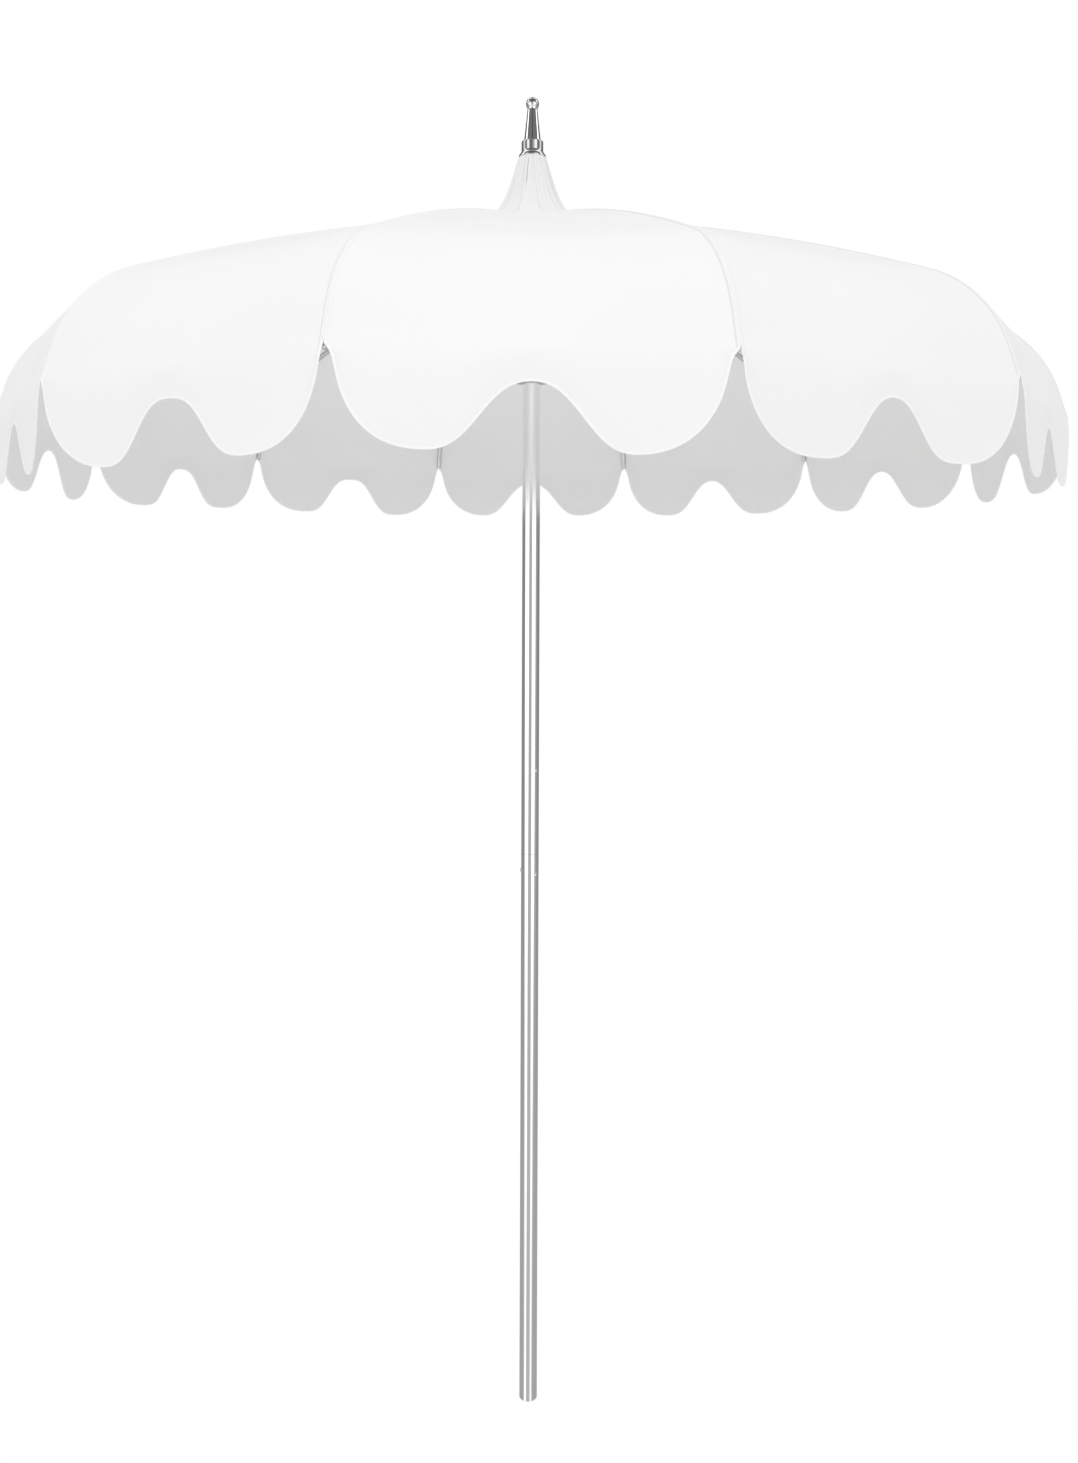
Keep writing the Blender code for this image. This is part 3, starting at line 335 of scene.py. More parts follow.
def polished(piece):
    """The tube with the normals of a true cylinder on its outer wall, also round the holes."""
    mesh = piece.data
    corner = np.empty(len(mesh.loops), int)
    mesh.loops.foreach_get("vertex_index", corner)
    corners = np.empty(len(mesh.polygons), int)
    mesh.polygons.foreach_get("loop_total", corners)
    points = np.empty(3 * len(mesh.vertices))
    mesh.vertices.foreach_get("co", points)
    facing = np.empty(3 * len(mesh.polygons))
    mesh.polygons.foreach_get("normal", facing)
    outward = points.reshape(-1, 3)[corner] * (1, 1, 0)
    outward /= np.linalg.norm(outward, axis=1)[:, None]
    wall = (outward * np.repeat(facing.reshape(-1, 3), corners, 0)).sum(1) > 0.97
    mesh.normals_split_custom_set((outward * wall[:, None]).tolist())
    return piece


pole_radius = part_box("pole_lower")[1][0]
button_height = middle("snap_button")[2]
key_height = middle("key_rivet")[2]
rivet_height = middle("spigot_rivet")[2]

aluminium = metal(
    "satin_aluminium",
    (0.88, 0.885, 0.89),
    (0.94, 0.945, 0.95),
    0.1,
    0.16,
    (900.0, 900.0, 3.0),
    0.00005,
    {"Anisotropic": 0.5, "Anisotropic Rotation": 0.25},
)
low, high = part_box("pole_lower")
pole_lower = tube("pole_lower_tube", low[2], high[2], [(button_height + key_height) / 2])
cut(
    pole_lower,
    drill(BUTTON_HOLE, button_height, math.pi),
    drill(RIVET_HOLE, key_height, RIVET_ANGLE),
)
fitted(polished(pole_lower), aluminium, "pole_aluminium", "pole", "pole_lower")

# Foot plug: a grey nylon cup with a flat floor. It is pressed into the tube's lower end, flush with
# the cut, and keeps water and grit out of the pole.

PLUG_WALL = 0.003
PLUG_FLOOR = 0.005


def moulded(name, dark, light, roughness):
    """Moulded plastic: a faintly mottled colour and a fine spark-eroded grain."""
    finish = Finish(name, {"IOR": 1.5})
    grain = finish.noise(finish.place(), (1400.0, 1400.0, 1400.0))
    clouds = finish.noise(finish.place(), (60.0, 60.0, 60.0))
    finish.vary("Base Color", finish.mix(clouds, dark, light))
    finish.vary("Roughness", roughness + 0.12 * clouds)
    finish.bump(grain, 0.00008, 0.35)
    return finish.material


nylon = moulded("grey_nylon_moulding", (0.34, 0.345, 0.35), (0.42, 0.425, 0.43), 0.38)
low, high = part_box("foot_plug")
plug = [
    (0, low[2]),
    (high[0], low[2]),
    (high[0], high[2]),
    (high[0] - PLUG_WALL, high[2]),
    (high[0] - PLUG_WALL, low[2] + PLUG_FLOOR),
    (0, low[2] + PLUG_FLOOR),
]
foot_plug = solid("foot_plug_cup", turned(eased(plug, EDGE_BREAK), 64))
fitted(foot_plug, nylon, "grey_nylon", "pole", "foot_plug")

# Upper pole: the same tube, pinned through the hub at its top. The wall is slotted at the back for
# the runner's catch and bored for the rivet that holds the spigot.

CATCH_SLOT_HALF = 0.0043
CATCH_NOSE = 0.0448
CATCH_PLAY = 0.0014
CATCH_FOOT = 0.002
CLEARANCE = 0.0003


def block(low, high):
    """A box from low to high as a grid: a point, two square rings and a point."""
    x, y = np.array([[low[0], high[0], high[0], low[0]], [low[1], low[1], high[1], high[1]]])
    ring = [np.stack([x, y, np.full(4, z)], -1) for z in (low[2], high[2])]
    caps = [np.broadcast_to(r.mean(0), r.shape) for r in ring]
    return np.stack([caps[0], *ring, caps[1]])


low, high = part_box("pole_upper")
catch_low, catch_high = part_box("catch_spring")
pin_height = middle("hub_pin")[2]
pin_radius = (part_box("hub_pin")[1][2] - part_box("hub_pin")[0][2]) / 2
catch_span = (catch_low[2] + CATCH_NOSE, catch_high[2] + CATCH_PLAY)
pole_upper = tube("pole_upper_tube", low[2], high[2], [rivet_height, pin_height, *catch_span])


def pin_drills():
    """Cutters for the hub's pin, one through each wall."""
    return [drill(pin_radius + CLEARANCE, pin_height, angle) for angle in (0.0, math.pi)]


def catch_slot(low, high):
    """A cutter through the pole's back between two heights."""
    corner = (-CATCH_SLOT_HALF, pole_radius / 2, low)
    return solid("slot", block(corner, (CATCH_SLOT_HALF, 2 * pole_radius, high)))


cut(
    pole_upper,
    drill(RIVET_HOLE, rivet_height, RIVET_ANGLE),
    *pin_drills(),
    catch_slot(*catch_span),
    catch_slot(catch_low[2], catch_low[2] + CATCH_FOOT),
)
fitted(polished(pole_upper), aluminium, "pole_aluminium", "pole", "pole_upper")

# Spigot: the inner tube that joins the two poles, riveted into the upper one. It is hidden but for
# the keyway, so the CAD tube stays and takes the tube's finish.


def dressed(node, material):
    """A CAD node that stays, with a better material."""
    mesh = frame["nodes"][node].data
    mesh.materials.clear()
    mesh.materials.append(material)


dressed("pole_spigot", aluminium)

# Rivets: two small domed aluminium heads, set from outside, on the pole's front right. One holds the
# spigot in the upper tube, and the other is the key that keeps the lower tube from turning.

RIVET_HEAD = 0.0033
RIVET_RISE = 0.0013
RIVET_SHANK = 0.0016
RIVET_TAIL = 0.006
RIVET_SINK = 0.00005


def rivet(name, height, node):
    """A dome r = R sin(t), h = H cos(t) on a flat seat, with its shank down to the tail."""
    inner = pole_radius - RIVET_TAIL
    t = np.linspace(0, math.pi / 2, 9)
    dome = np.stack([RIVET_HEAD * np.sin(t), pole_radius - RIVET_SINK + RIVET_RISE * np.cos(t)], 1)
    seat = pole_radius - CLEARANCE
    shank = np.array([(RIVET_HEAD, seat), (RIVET_SHANK, seat), (RIVET_SHANK, inner), (0, inner)])
    direction = (math.cos(RIVET_ANGLE), math.sin(RIVET_ANGLE), 0)
    piece = solid(name, aimed(turned(np.concatenate([dome, shank]), 28), (0, 0, height), direction))
    fitted(piece, aluminium, "pole_aluminium", "pole", node)


rivet("key_rivet_head", key_height, "key_rivet")
rivet("spigot_rivet_head", rivet_height, "spigot_rivet")

# Snap button: a bright domed peg, pushed out through both tubes to lock the joint. Behind it a strip
# of spring steel, bent to a V, stands on the spigot's far wall, and its near leg gives with the button.

PEG_RADIUS = 0.004
PEG_FLANGE = 0.0012
PEG_EDGE = 0.0002
LEAF_HALF_WIDTH = 0.004
LEAF_HALF = 0.0004
LEAF_SEAT = 0.012
LEAF_FOOT = 0.016
LEAF_BEND = (0.0045, 0.0018, 0.0035)
LEAF_ROUND = 0.003

chrome = metal(
    "bright_chrome_plate",
    (0.84, 0.85, 0.86),
    (0.9, 0.905, 0.91),
    0.035,
    0.085,
    (220.0, 220.0, 220.0),
    0.00001,
)
steel = metal(
    "spring_steel_strip",
    (0.46, 0.47, 0.48),
    (0.55, 0.56, 0.57),
    0.25,
    0.38,
    (700.0, 700.0, 20.0),
    0.00004,
)

low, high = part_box("snap_button")
flange = (high[2] - low[2]) / 2
t = np.linspace(0, math.pi / 2, 10)
dome = np.stack([PEG_RADIUS * np.sin(t), pole_radius + (-low[0] - pole_radius) * np.cos(t)], 1)
root = -high[0]
shelf = root + PEG_FLANGE
stem = [dome[-1], (PEG_RADIUS, shelf), (flange, shelf), (flange, root), (0, root)]
peg = turned(np.concatenate([dome, eased(stem, PEG_EDGE, ring=False)[1:]]), 36)
button = solid("snap_button_peg", aimed(peg, (0, 0, button_height), (-1, 0, 0)))
fitted(button, chrome, "bright_chrome", "snap_button", "snap_button")


def path_length(points):
    """Distance along each line of points from its first one."""
    steps = np.linalg.norm(np.diff(points, axis=-2), axis=-1)
    return np.concatenate([np.zeros((*steps.shape[:-1], 1)), np.cumsum(steps, -1)], -1)


def unit(vectors):
    """The vectors with a length of one."""
    return vectors / np.linalg.norm(vectors, axis=-1, keepdims=True)


def in_plane(radius, height):
    """Points in the plane y = 0 from radius and height."""
    return np.stack([radius, 0 * radius, height], -1)


def rod(centre, side, up, wide, tall, power, sides=24):
    """A grid along a path: at each station the superellipse |x/wide|^p + |y/tall|^p = 1 across it, and
    a point at each end."""
    angle = 2 * math.pi * np.arange(sides) / sides
    power = 2 / np.asarray(power, float).reshape(-1, 1)
    x = np.sign(np.cos(angle)) * np.abs(np.cos(angle)) ** power * np.reshape(wide, (-1, 1))
    y = np.sign(np.sin(angle)) * np.abs(np.sin(angle)) ** power * np.reshape(tall, (-1, 1))
    grid = centre[:, None] + x[..., None] * side[:, None] + y[..., None] * up[:, None]
    ends = [np.broadcast_to(point, (1, sides, 3)) for point in (centre[0], centre[-1])]
    return np.concatenate([ends[0], grid, ends[1]])


low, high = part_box("snap_spring")
seat_x = low[0] + LEAF_HALF
foot_x = high[0] - LEAF_HALF
bottom = low[2] + LEAF_HALF
leaf_path = np.array(
    [
        (seat_x, button_height + LEAF_SEAT / 2),
        (seat_x, button_height - LEAF_SEAT / 2),
        (-LEAF_BEND[0], bottom + LEAF_BEND[2]),
        (-LEAF_BEND[1], bottom),
        (LEAF_BEND[1], bottom),
        (LEAF_BEND[0], bottom + LEAF_BEND[2]),
        (foot_x, high[2] - LEAF_FOOT),
        (foot_x, high[2]),
    ]
)
leaf_path = eased(leaf_path + (1, 0), LEAF_ROUND, ring=False) - (1, 0)
even = path_length(leaf_path)
at = np.linspace(0, even[-1], 90)
leaf_path = in_plane(np.interp(at, even, leaf_path[:, 0]), np.interp(at, even, leaf_path[:, 1]))
along = unit(np.gradient(leaf_path, axis=0))
across = np.broadcast_to([0.0, 1.0, 0.0], along.shape)
leaf = solid(
    "snap_leaf_strip",
    rod(leaf_path, across, np.cross(along, across), LEAF_HALF_WIDTH, LEAF_HALF, 8.0),
)
leaf.data.materials.append(steel)
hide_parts("snap_spring")
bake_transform(leaf)

# Top hub: a moulded nylon boss pinned to the pole, with a slotted flange. Each slot holds a rib's
# flattened eye, and one ring wire in the groove round the rim runs through all twelve.

SECTORS = 12
SECTOR = 2 * math.pi / SECTORS
FRONT = -math.pi / 2
HUB_BOSS = 0.0267
HUB_FLANGE_HALF = 0.007
HUB_RIM = 0.051
SLOT_WIDTH = 0.0048
SLOT_FLOOR = 0.0402
WIRE_RADIUS = 0.0013
MOULD_EDGE = 0.0012
HUB_CHAMFER = 0.0025
HUB_UPPER_CONE = 0.004
HUB_LOWER_CONE = 0.005

hinge = np.array(joints["rib_hinge_01"]["pos_m"])
pivot_radius = math.hypot(hinge[0], hinge[1])
pivot_height = hinge[2]


def rib_turn(index):
    """Direction of a rib about Z."""
    return FRONT + (index - 0.5) * SECTOR


def rib_frame(index):
    """A rib's number, the directions out along it and across it, and its pivot."""
    turn = rib_turn(index)
    out = np.array([math.cos(turn), math.sin(turn), 0.0])
    anchor = tuple(out * pivot_radius + np.array([0, 0, pivot_height]))
    return f"{index + 1:02d}", out, (-out[1], out[0], 0.0), anchor


def rib_slots(height, half):
    """Twelve radial cutters that leave a slot for each eye."""
    slot = block((SLOT_FLOOR, -SLOT_WIDTH / 2, height - half), (2 * HUB_RIM, SLOT_WIDTH / 2, height + half))
    turns = [np.array(Matrix.Rotation(rib_turn(i), 3, "Z")).T for i in range(SECTORS)]
    return solid("slots", *[slot @ turn for turn in turns])


low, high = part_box("top_hub")
shoulder = (HUB_BOSS + HUB_RIM) / 2
hub_profile = [
    (HUB_BOSS - HUB_CHAMFER, high[2]),
    (HUB_BOSS, high[2] - HUB_CHAMFER),
    (HUB_BOSS, pivot_height + HUB_FLANGE_HALF + HUB_UPPER_CONE),
    (shoulder, pivot_height + HUB_FLANGE_HALF),
    (HUB_RIM, pivot_height + HUB_FLANGE_HALF),
    (HUB_RIM, pivot_height - HUB_FLANGE_HALF),
    (shoulder, pivot_height - HUB_FLANGE_HALF),
    (HUB_BOSS, pivot_height - HUB_FLANGE_HALF - HUB_LOWER_CONE),
    (HUB_BOSS, low[2]),
    (pole_radius + CLEARANCE, low[2]),
    (pole_radius + CLEARANCE, high[2]),
]
groove_half = WIRE_RADIUS + CLEARANCE
groove = [
    (2 * HUB_RIM, pivot_height - groove_half),
    (2 * HUB_RIM, pivot_height + groove_half),
    (pivot_radius - groove_half, pivot_height + groove_half),
    (pivot_radius - groove_half, pivot_height - groove_half),
]
hub = solid("top_hub_moulding", turned(eased(hub_profile, MOULD_EDGE), 96), loop=True)
cut(
    hub,
    rib_slots(pivot_height, 2 * HUB_FLANGE_HALF),
    solid("groove", turned(groove, 96), loop=True),
    *pin_drills(),
)
fitted(hub, nylon, "grey_nylon", "pole", "top_hub")
dressed("hub_pin", steel)


def ring_wire(name, height):
    """A round wire bent to twelve sides: a circle turned in twelve steps, straight in each eye."""
    t = 2 * math.pi * np.arange(14) / 14
    corner = pivot_radius / math.cos(SECTOR / 2)
    mitre = WIRE_RADIUS / math.cos(SECTOR / 2)
    profile = np.stack([corner + mitre * np.cos(t), height + WIRE_RADIUS * np.sin(t)], 1)
    return solid(name, turned(profile, SECTORS, FRONT), loop=True, angle=28.0)


fitted(ring_wire("hub_ring", pivot_height), steel, "spring_steel", "pole", "hub_ring_wire")

# Runner: a moulded nylon slide that the hand pushes up the pole by its grip rim. Its slotted flange
# holds the struts' eyes on a second ring wire, and open it rests on the catch in the pole's back.

RUNNER_BORE = 0.0179
RUNNER_SLEEVE = 0.0229
RUNNER_WAIST = 0.0269
RUNNER_GRIP = 0.043
RUNNER_SHOULDER = 0.035
RUNNER_FLANGE_HALF = 0.008
GRIP_THICKNESS = 0.006
GRIP_LIP = 0.002
GRIP_CONE = 0.004
GRIP_CHAMFER = 0.002
GRIP_EDGE = 0.001
RUNNER_BELOW_HUB = 0.274
RUNNER_CHAMFER = 0.0015
RUNNER_UPPER_CONE = 0.007
RUNNER_LOWER_CONE = 0.006
RUNNER_EDGE = 0.0016
RUNNER_SLOT_PAST = 0.003

low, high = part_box("runner")
runner_height = pivot_height - RUNNER_BELOW_HUB
runner_profile = [
    (RUNNER_SLEEVE - RUNNER_CHAMFER, high[2]),
    (RUNNER_SLEEVE, high[2] - RUNNER_CHAMFER),
    (RUNNER_SLEEVE, runner_height + RUNNER_FLANGE_HALF + RUNNER_UPPER_CONE),
    (RUNNER_SHOULDER, runner_height + RUNNER_FLANGE_HALF),
    (HUB_RIM, runner_height + RUNNER_FLANGE_HALF),
    (HUB_RIM, runner_height - RUNNER_FLANGE_HALF),
    (RUNNER_SHOULDER, runner_height - RUNNER_FLANGE_HALF),
    (RUNNER_WAIST, runner_height - RUNNER_FLANGE_HALF - RUNNER_LOWER_CONE),
    (RUNNER_WAIST, low[2] + GRIP_THICKNESS + GRIP_CONE),
    (RUNNER_GRIP - GRIP_CHAMFER, low[2] + GRIP_THICKNESS),
    (RUNNER_GRIP, low[2] + GRIP_THICKNESS - GRIP_CHAMFER),
    (RUNNER_GRIP, low[2] - GRIP_LIP + GRIP_EDGE),
    (RUNNER_GRIP - GRIP_EDGE, low[2] - GRIP_LIP),
    (RUNNER_BORE, low[2] - GRIP_LIP),
    (RUNNER_BORE, high[2]),
]
runner = solid("runner_moulding", turned(eased(runner_profile, RUNNER_EDGE), 96), loop=True)
cut(runner, rib_slots(runner_height, RUNNER_FLANGE_HALF + RUNNER_SLOT_PAST))
fitted(runner, nylon, "grey_nylon", "runner", "runner")
fitted(ring_wire("runner_ring", runner_height), steel, "spring_steel", "runner")
dressed("catch_spring", steel)

# Ribs: drawn aluminium rods, flattened to an eye at the hub and bent down near the tip. A steel clip
# with two ears is fixed under each one and holds the strut's pin.

RIB_LENGTH = 1.0818
RIB_RADIUS = 0.004
RIB_START_ANGLE = 10.3
RIB_CAMBER_ANGLE = 14.35
RIB_BEND_ANGLE = 48.9
RIB_BEND_LENGTH = 0.1904
RIB_TAIL_LENGTH = 0.049
EYE_RADIUS = 0.005
EYE_HALF = 0.002
EYE_END = 0.024
CLIP_DISTANCE = 0.440
CLIP_LENGTH = 0.018
EAR_THICKNESS = 0.0019
EAR_FOOT = 0.0035
EYE_PLAY = 0.0004
PIN_RADIUS = 0.002
PIN_PAST = 0.0009
PIN_EDGE = 0.0005

frame_metal = metal(
    "drawn_frame_rod",
    (0.76, 0.765, 0.77),
    (0.84, 0.845, 0.85),
    0.36,
    0.48,
    (500.0, 500.0, 60.0),
    0.00004,
)


def rib_heading(distance):
    """Angle below level along the rib: a steady camber, and one arc before the straight tail."""
    bend_start = RIB_LENGTH - RIB_TAIL_LENGTH - RIB_BEND_LENGTH
    camber = RIB_CAMBER_ANGLE * np.clip(distance / RIB_LENGTH, 0, 1)
    bend = RIB_BEND_ANGLE * np.clip((distance - bend_start) / RIB_BEND_LENGTH, 0, 1)
    return np.radians(RIB_START_ANGLE + camber + bend)


def rib_line(distance):
    """Radius and height of the rib's centre: the sums of the heading's cosine and sine from the pivot."""
    table = np.linspace(-pivot_radius, RIB_LENGTH, 2400)
    heading = rib_heading(table)
    step = table[1] - table[0]
    out = np.cumsum(np.cos(heading)) * step
    down = np.cumsum(np.sin(heading)) * step
    out -= np.interp(0, table, out)
    down -= np.interp(0, table, down)
    return pivot_radius + np.interp(distance, table, out), pivot_height - np.interp(distance, table, down)


def smooth(value, low, high):
    """0 below low, 1 above high, 3t^2 - 2t^3 between."""
    share = np.clip((value - low) / (high - low), 0, 1)
    return share * share * (3 - 2 * share)


def flattened(past, radius):
    """Half width, half height and squareness of a rod whose end is flattened to a round eye, by the
    distance past the eye's middle."""
    rounding = smooth(past, 0.010, EYE_END)
    wide = EYE_HALF + (radius - EYE_HALF) * rounding
    tall = EYE_RADIUS + (radius - EYE_RADIUS) * smooth(past, 0.0, 0.016)
    tall = tall * np.sqrt(np.clip(1 - (np.minimum(past, 0) / EYE_RADIUS) ** 2, 1e-6, 1))
    return wide, tall, 7.0 - 5.0 * rounding


def eye_hole(radius, place):
    """A round cutter across the rib plane at a place in it."""
    profile = [(0, -0.01), (radius, -0.01), (radius, 0.01), (0, 0.01)]
    return solid("eye_hole", aimed(turned(profile, 24), (place[0], 0, place[1]), (0, 1, 0)))


def ringed(piece, name, material, slot, body, node=None):
    """Twelve copies of a piece made in the plane y = 0, one in each rib's plane."""
    for index in range(SECTORS):
        number = f"_{index + 1:02d}"
        mesh = piece.data.copy()
        mesh.transform(Matrix.Rotation(rib_turn(index), 4, "Z"))
        nodes = [node + number] if node else []
        fitted(placed(name + number, mesh), material, slot, body + number, *nodes)
    bpy.data.objects.remove(piece)


bend_start = RIB_LENGTH - RIB_TAIL_LENGTH - RIB_BEND_LENGTH
tip = RIB_LENGTH - RIB_RADIUS * (1 - np.sin(np.linspace(0, math.pi / 2, 7)))
eye = -EYE_RADIUS * np.cos(np.linspace(0, math.pi / 2, 10))
distance = np.concatenate(
    [
        eye,
        np.linspace(0.001, EYE_END, 16),
        np.linspace(0.04, bend_start, 40),
        np.linspace(bend_start + 0.006, tip[0] - 0.004, 38),
        tip,
    ]
)
heading = rib_heading(distance)
wide, tall, power = flattened(distance, RIB_RADIUS)
rounding = np.sqrt(np.clip(1 - (np.maximum(distance - tip[0], 0) / RIB_RADIUS) ** 2, 1e-6, 1))
side = np.broadcast_to([0.0, 1.0, 0.0], (len(distance), 3))
rib = solid(
    "rib",
    rod(
        in_plane(*rib_line(distance)),
        side,
        in_plane(np.sin(heading), np.cos(heading)),
        wide * rounding,
        tall * rounding,
        power,
    ),
)
cut(rib, eye_hole(WIRE_RADIUS + EYE_PLAY, (pivot_radius, pivot_height)))
ringed(rib, "rib_rod", frame_metal, "frame_metal", "rib", "rib")

clip = np.array(joints["strut_hinge_01"]["pos_m"])
clip = np.array([math.hypot(clip[0], clip[1]), clip[2]])
seat = np.array([float(v) for v in rib_line(CLIP_DISTANCE)])
drop = float(np.linalg.norm(seat - clip))
heading = float(rib_heading(CLIP_DISTANCE))


def plate(outline, low, high):
    """A grid of an outline in the rib plane, given along and across the rib at the clip, from low to
    high: a point, the outline twice, and a point."""
    along, down = np.asarray(outline).T
    flat = in_plane(
        seat[0] + along * math.cos(heading) - down * math.sin(heading),
        seat[1] - along * math.sin(heading) - down * math.cos(heading),
    )
    inset = flat.mean(0) + (flat - flat.mean(0)) * 0.955
    rows = [flat.mean(0) + 0 * flat, inset, flat, flat, inset, flat.mean(0) + 0 * flat]
    offsets = (low, low, low + 0.0003, high - 0.0003, high, high)
    return np.stack([row + np.array([0, y, 0]) for row, y in zip(rows, offsets)])


arc = np.linspace(math.radians(80), math.radians(-80), 15)
ear = np.concatenate(
    [
        [(-CLIP_LENGTH / 2, 0.0), (-CLIP_LENGTH / 2, EAR_FOOT)],
        np.stack([-EYE_RADIUS * np.sin(arc), drop + EYE_RADIUS * np.cos(arc)], 1),
        [(CLIP_LENGTH / 2, EAR_FOOT), (CLIP_LENGTH / 2, 0.0)],
    ]
)
inner = EYE_HALF + EYE_PLAY
outer = inner + EAR_THICKNESS
pin_half = outer + PIN_PAST
pin = [(0, -pin_half), (PIN_RADIUS, -pin_half), (PIN_RADIUS, pin_half), (0, pin_half)]
clip_piece = solid(
    "clip",
    plate(ear, inner, outer),
    plate(ear, -outer, -inner),
    aimed(turned(eased(pin, PIN_EDGE), 24), (clip[0], 0, clip[1]), (0, 1, 0)),
)
ringed(clip_piece, "strut_clip", steel, "frame_metal", "rib")

# Struts: straight rods with a flattened eye at each end, one on the clip's pin and one on the
# runner's ring wire. They spread the ribs as the runner goes up.

STRUT_RADIUS = 0.0035

foot = np.array([pivot_radius, runner_height])
length = float(np.linalg.norm(foot - clip))
run = (foot - clip) / length
half_way = np.concatenate([eye, np.linspace(0.001, EYE_END, 16), [0.08, length / 2]])
past = np.concatenate([half_way, length - half_way[-2::-1]])
wide, tall, power = flattened(np.minimum(past, length - past), STRUT_RADIUS)
side = np.broadcast_to([0.0, 1.0, 0.0], (len(past), 3))
up = np.broadcast_to([-run[1], 0.0, run[0]], (len(past), 3))
strut_line = in_plane(clip[0] + past * run[0], clip[1] + past * run[1])
strut = solid("strut", rod(strut_line, side, up, wide, tall, power))
cut(strut, eye_hole(PIN_RADIUS + CLEARANCE, clip), eye_hole(WIRE_RADIUS + EYE_PLAY, foot))
ringed(strut, "strut_rod", frame_metal, "frame_metal", "strut", "strut")

# Canopy: twelve gores of white woven canvas, sewn together over the ribs, gathered at the neck under
# the finial, and cut to a double scallop below. It is modelled as a ring at the neck and twelve panels,
# one on each rib, each a crown and bands cut at steps of the gather that closing would need; the bands ride
# on their rib.

CANVAS_THICKNESS = 0.001
CANVAS_PLAY = 0.0012
CANVAS_LIFT = RIB_RADIUS / math.cos(SECTOR / 2) + CLEARANCE + CANVAS_PLAY
NECK_TOP_RADIUS = 0.0271
NECK_RISE = 0.129
NECK_SPREAD = 0.0303
NECK_POWER = 1.14
NECK_END_RADIUS = 0.055
CROWN_END_RADIUS = 0.09
SAG = 0.006
SEAM_HALF = 0.005
SEAM_RISE = 0.0009
SEAM_EDGE = 0.0008
RIPPLE = 0.0011
SWAY = 0.0016
GATHERS = 26
GATHER_DEPTH = 0.0009
GATHER_START = 0.031
GATHER_FADE = (0.05, 0.095)
LOBE_DROP = 0.1307
LOBE_POWER = 2.25
VALLEY_DROP = 0.042
VALLEY_STEEPNESS = 0.6
NOTCH_SHARE = 0.035
NOTCH_ROUND = 0.012
NOTCH_DROP = 0.0015
NOTCH_RISE = 0.006
NOTCH_REACH = 0.09
LOBE_CURL = 0.008
LOBE_TRIM = 0.003
VALANCE_FLARE = 0.29
VALANCE_EASE = 0.014
PLEAT_CROSSING = 0.007
CANVAS_ROWS = 116
VALANCE_ROWS = 14
FOLD_ANGLE = math.radians(joints["rib_hinge_01"]["range_deg"][1])

random = np.random.default_rng(12)
slack = random.uniform(0.6, 1.3, SECTORS)
curl = random.uniform(-1.0, 0.6, (SECTORS, 2))
trim = random.uniform(-LOBE_TRIM, LOBE_TRIM, (SECTORS, 2))
trim[0] = (-0.006, 0.0)
trim[1, 1] = -0.0055
notch = random.uniform(0.7, 1.3, (SECTORS, 2)) * NOTCH_SHARE
notch[0] = 0.054
notch[-1, 1] = 0.008
notch[1, 0] = 0.0
phase = random.uniform(0, 2 * math.pi, (SECTORS, 3))
steepness = VALLEY_STEEPNESS + random.uniform(-0.3, 0.3, SECTORS)
steepness[[0, 1, -1]] = (0.35, 0.35, 0.65)
gather_angle = (np.arange(GATHERS) + random.uniform(-0.36, 0.36, GATHERS)) * 2 * math.pi / GATHERS
gather_end = random.uniform(0.05, 0.095, GATHERS)
gather_width = random.uniform(0.018, 0.04, GATHERS)
gather_angle[[4, -1]] = np.radians([58.0, -15.0])
gather_end[[4, -1]] = (0.1, 0.062)
gather_width[[4, -1]] = 0.025
gather_weight = np.ones(GATHERS)
gather_weight[[4, -1]] = (2.4, 1.7)
notch_rise = random.uniform(0.5, 1.5, SECTORS) * NOTCH_RISE
notch_rise[[0, 1, 2, -1]] = (0.0125, 0.0065, 0.016, 0.003)
narrowness = random.uniform(0.9, 1.5, SECTORS)
narrowness[[0, 1, -1]] = (1.0, 1.5, 1.0)
valley = np.full(SECTORS, VALLEY_DROP)
valley[[0, -1]] += (-0.0012, 0.0045)


def canvas_line(distance):
    """Radius and height of the canvas's face over a rib: the rib's line lifted along its normal, plus
    the neck's flare, which dies away as exp(-radius^power)."""
    radius, height = rib_line(distance)
    heading = rib_heading(distance)
    radius = radius + CANVAS_LIFT * np.sin(heading)
    past_neck = np.maximum(radius - NECK_TOP_RADIUS, 0) / NECK_SPREAD
    flare = NECK_RISE * np.exp(-(past_neck**NECK_POWER))
    return radius, height + CANVAS_LIFT * np.cos(heading) + flare


def scallop(share, notch, steep, narrow, top, valley):
    """Drop of the hem below the rib tips, by the share of the way from a seam to mid gore: a quarter of
    a superellipse from the top of the rounded notch to the lobe, then a power of a raised cosine up to
    the shallow valley, made steeper by 3f^2 - 2f^3."""

    def opened(value):
        return (value - notch + np.hypot(value - notch, NOTCH_ROUND)) / 2

    back = 1 - np.clip((opened(share) - opened(0)) / (opened(0.5) - opened(0)), 0, 1)
    falling = top + (LOBE_DROP - top) * (1 - back**LOBE_POWER) ** (1 / LOBE_POWER)
    climb = ((1 - np.cos(math.pi * np.clip(2 * share - 1, 0, 1))) / 2) ** narrow
    climb = climb + steep * (smooth(climb, 0, 1) - climb)
    climbing = LOBE_DROP - (LOBE_DROP - valley) * climb
    return np.where(share < 0.5, falling, climbing)


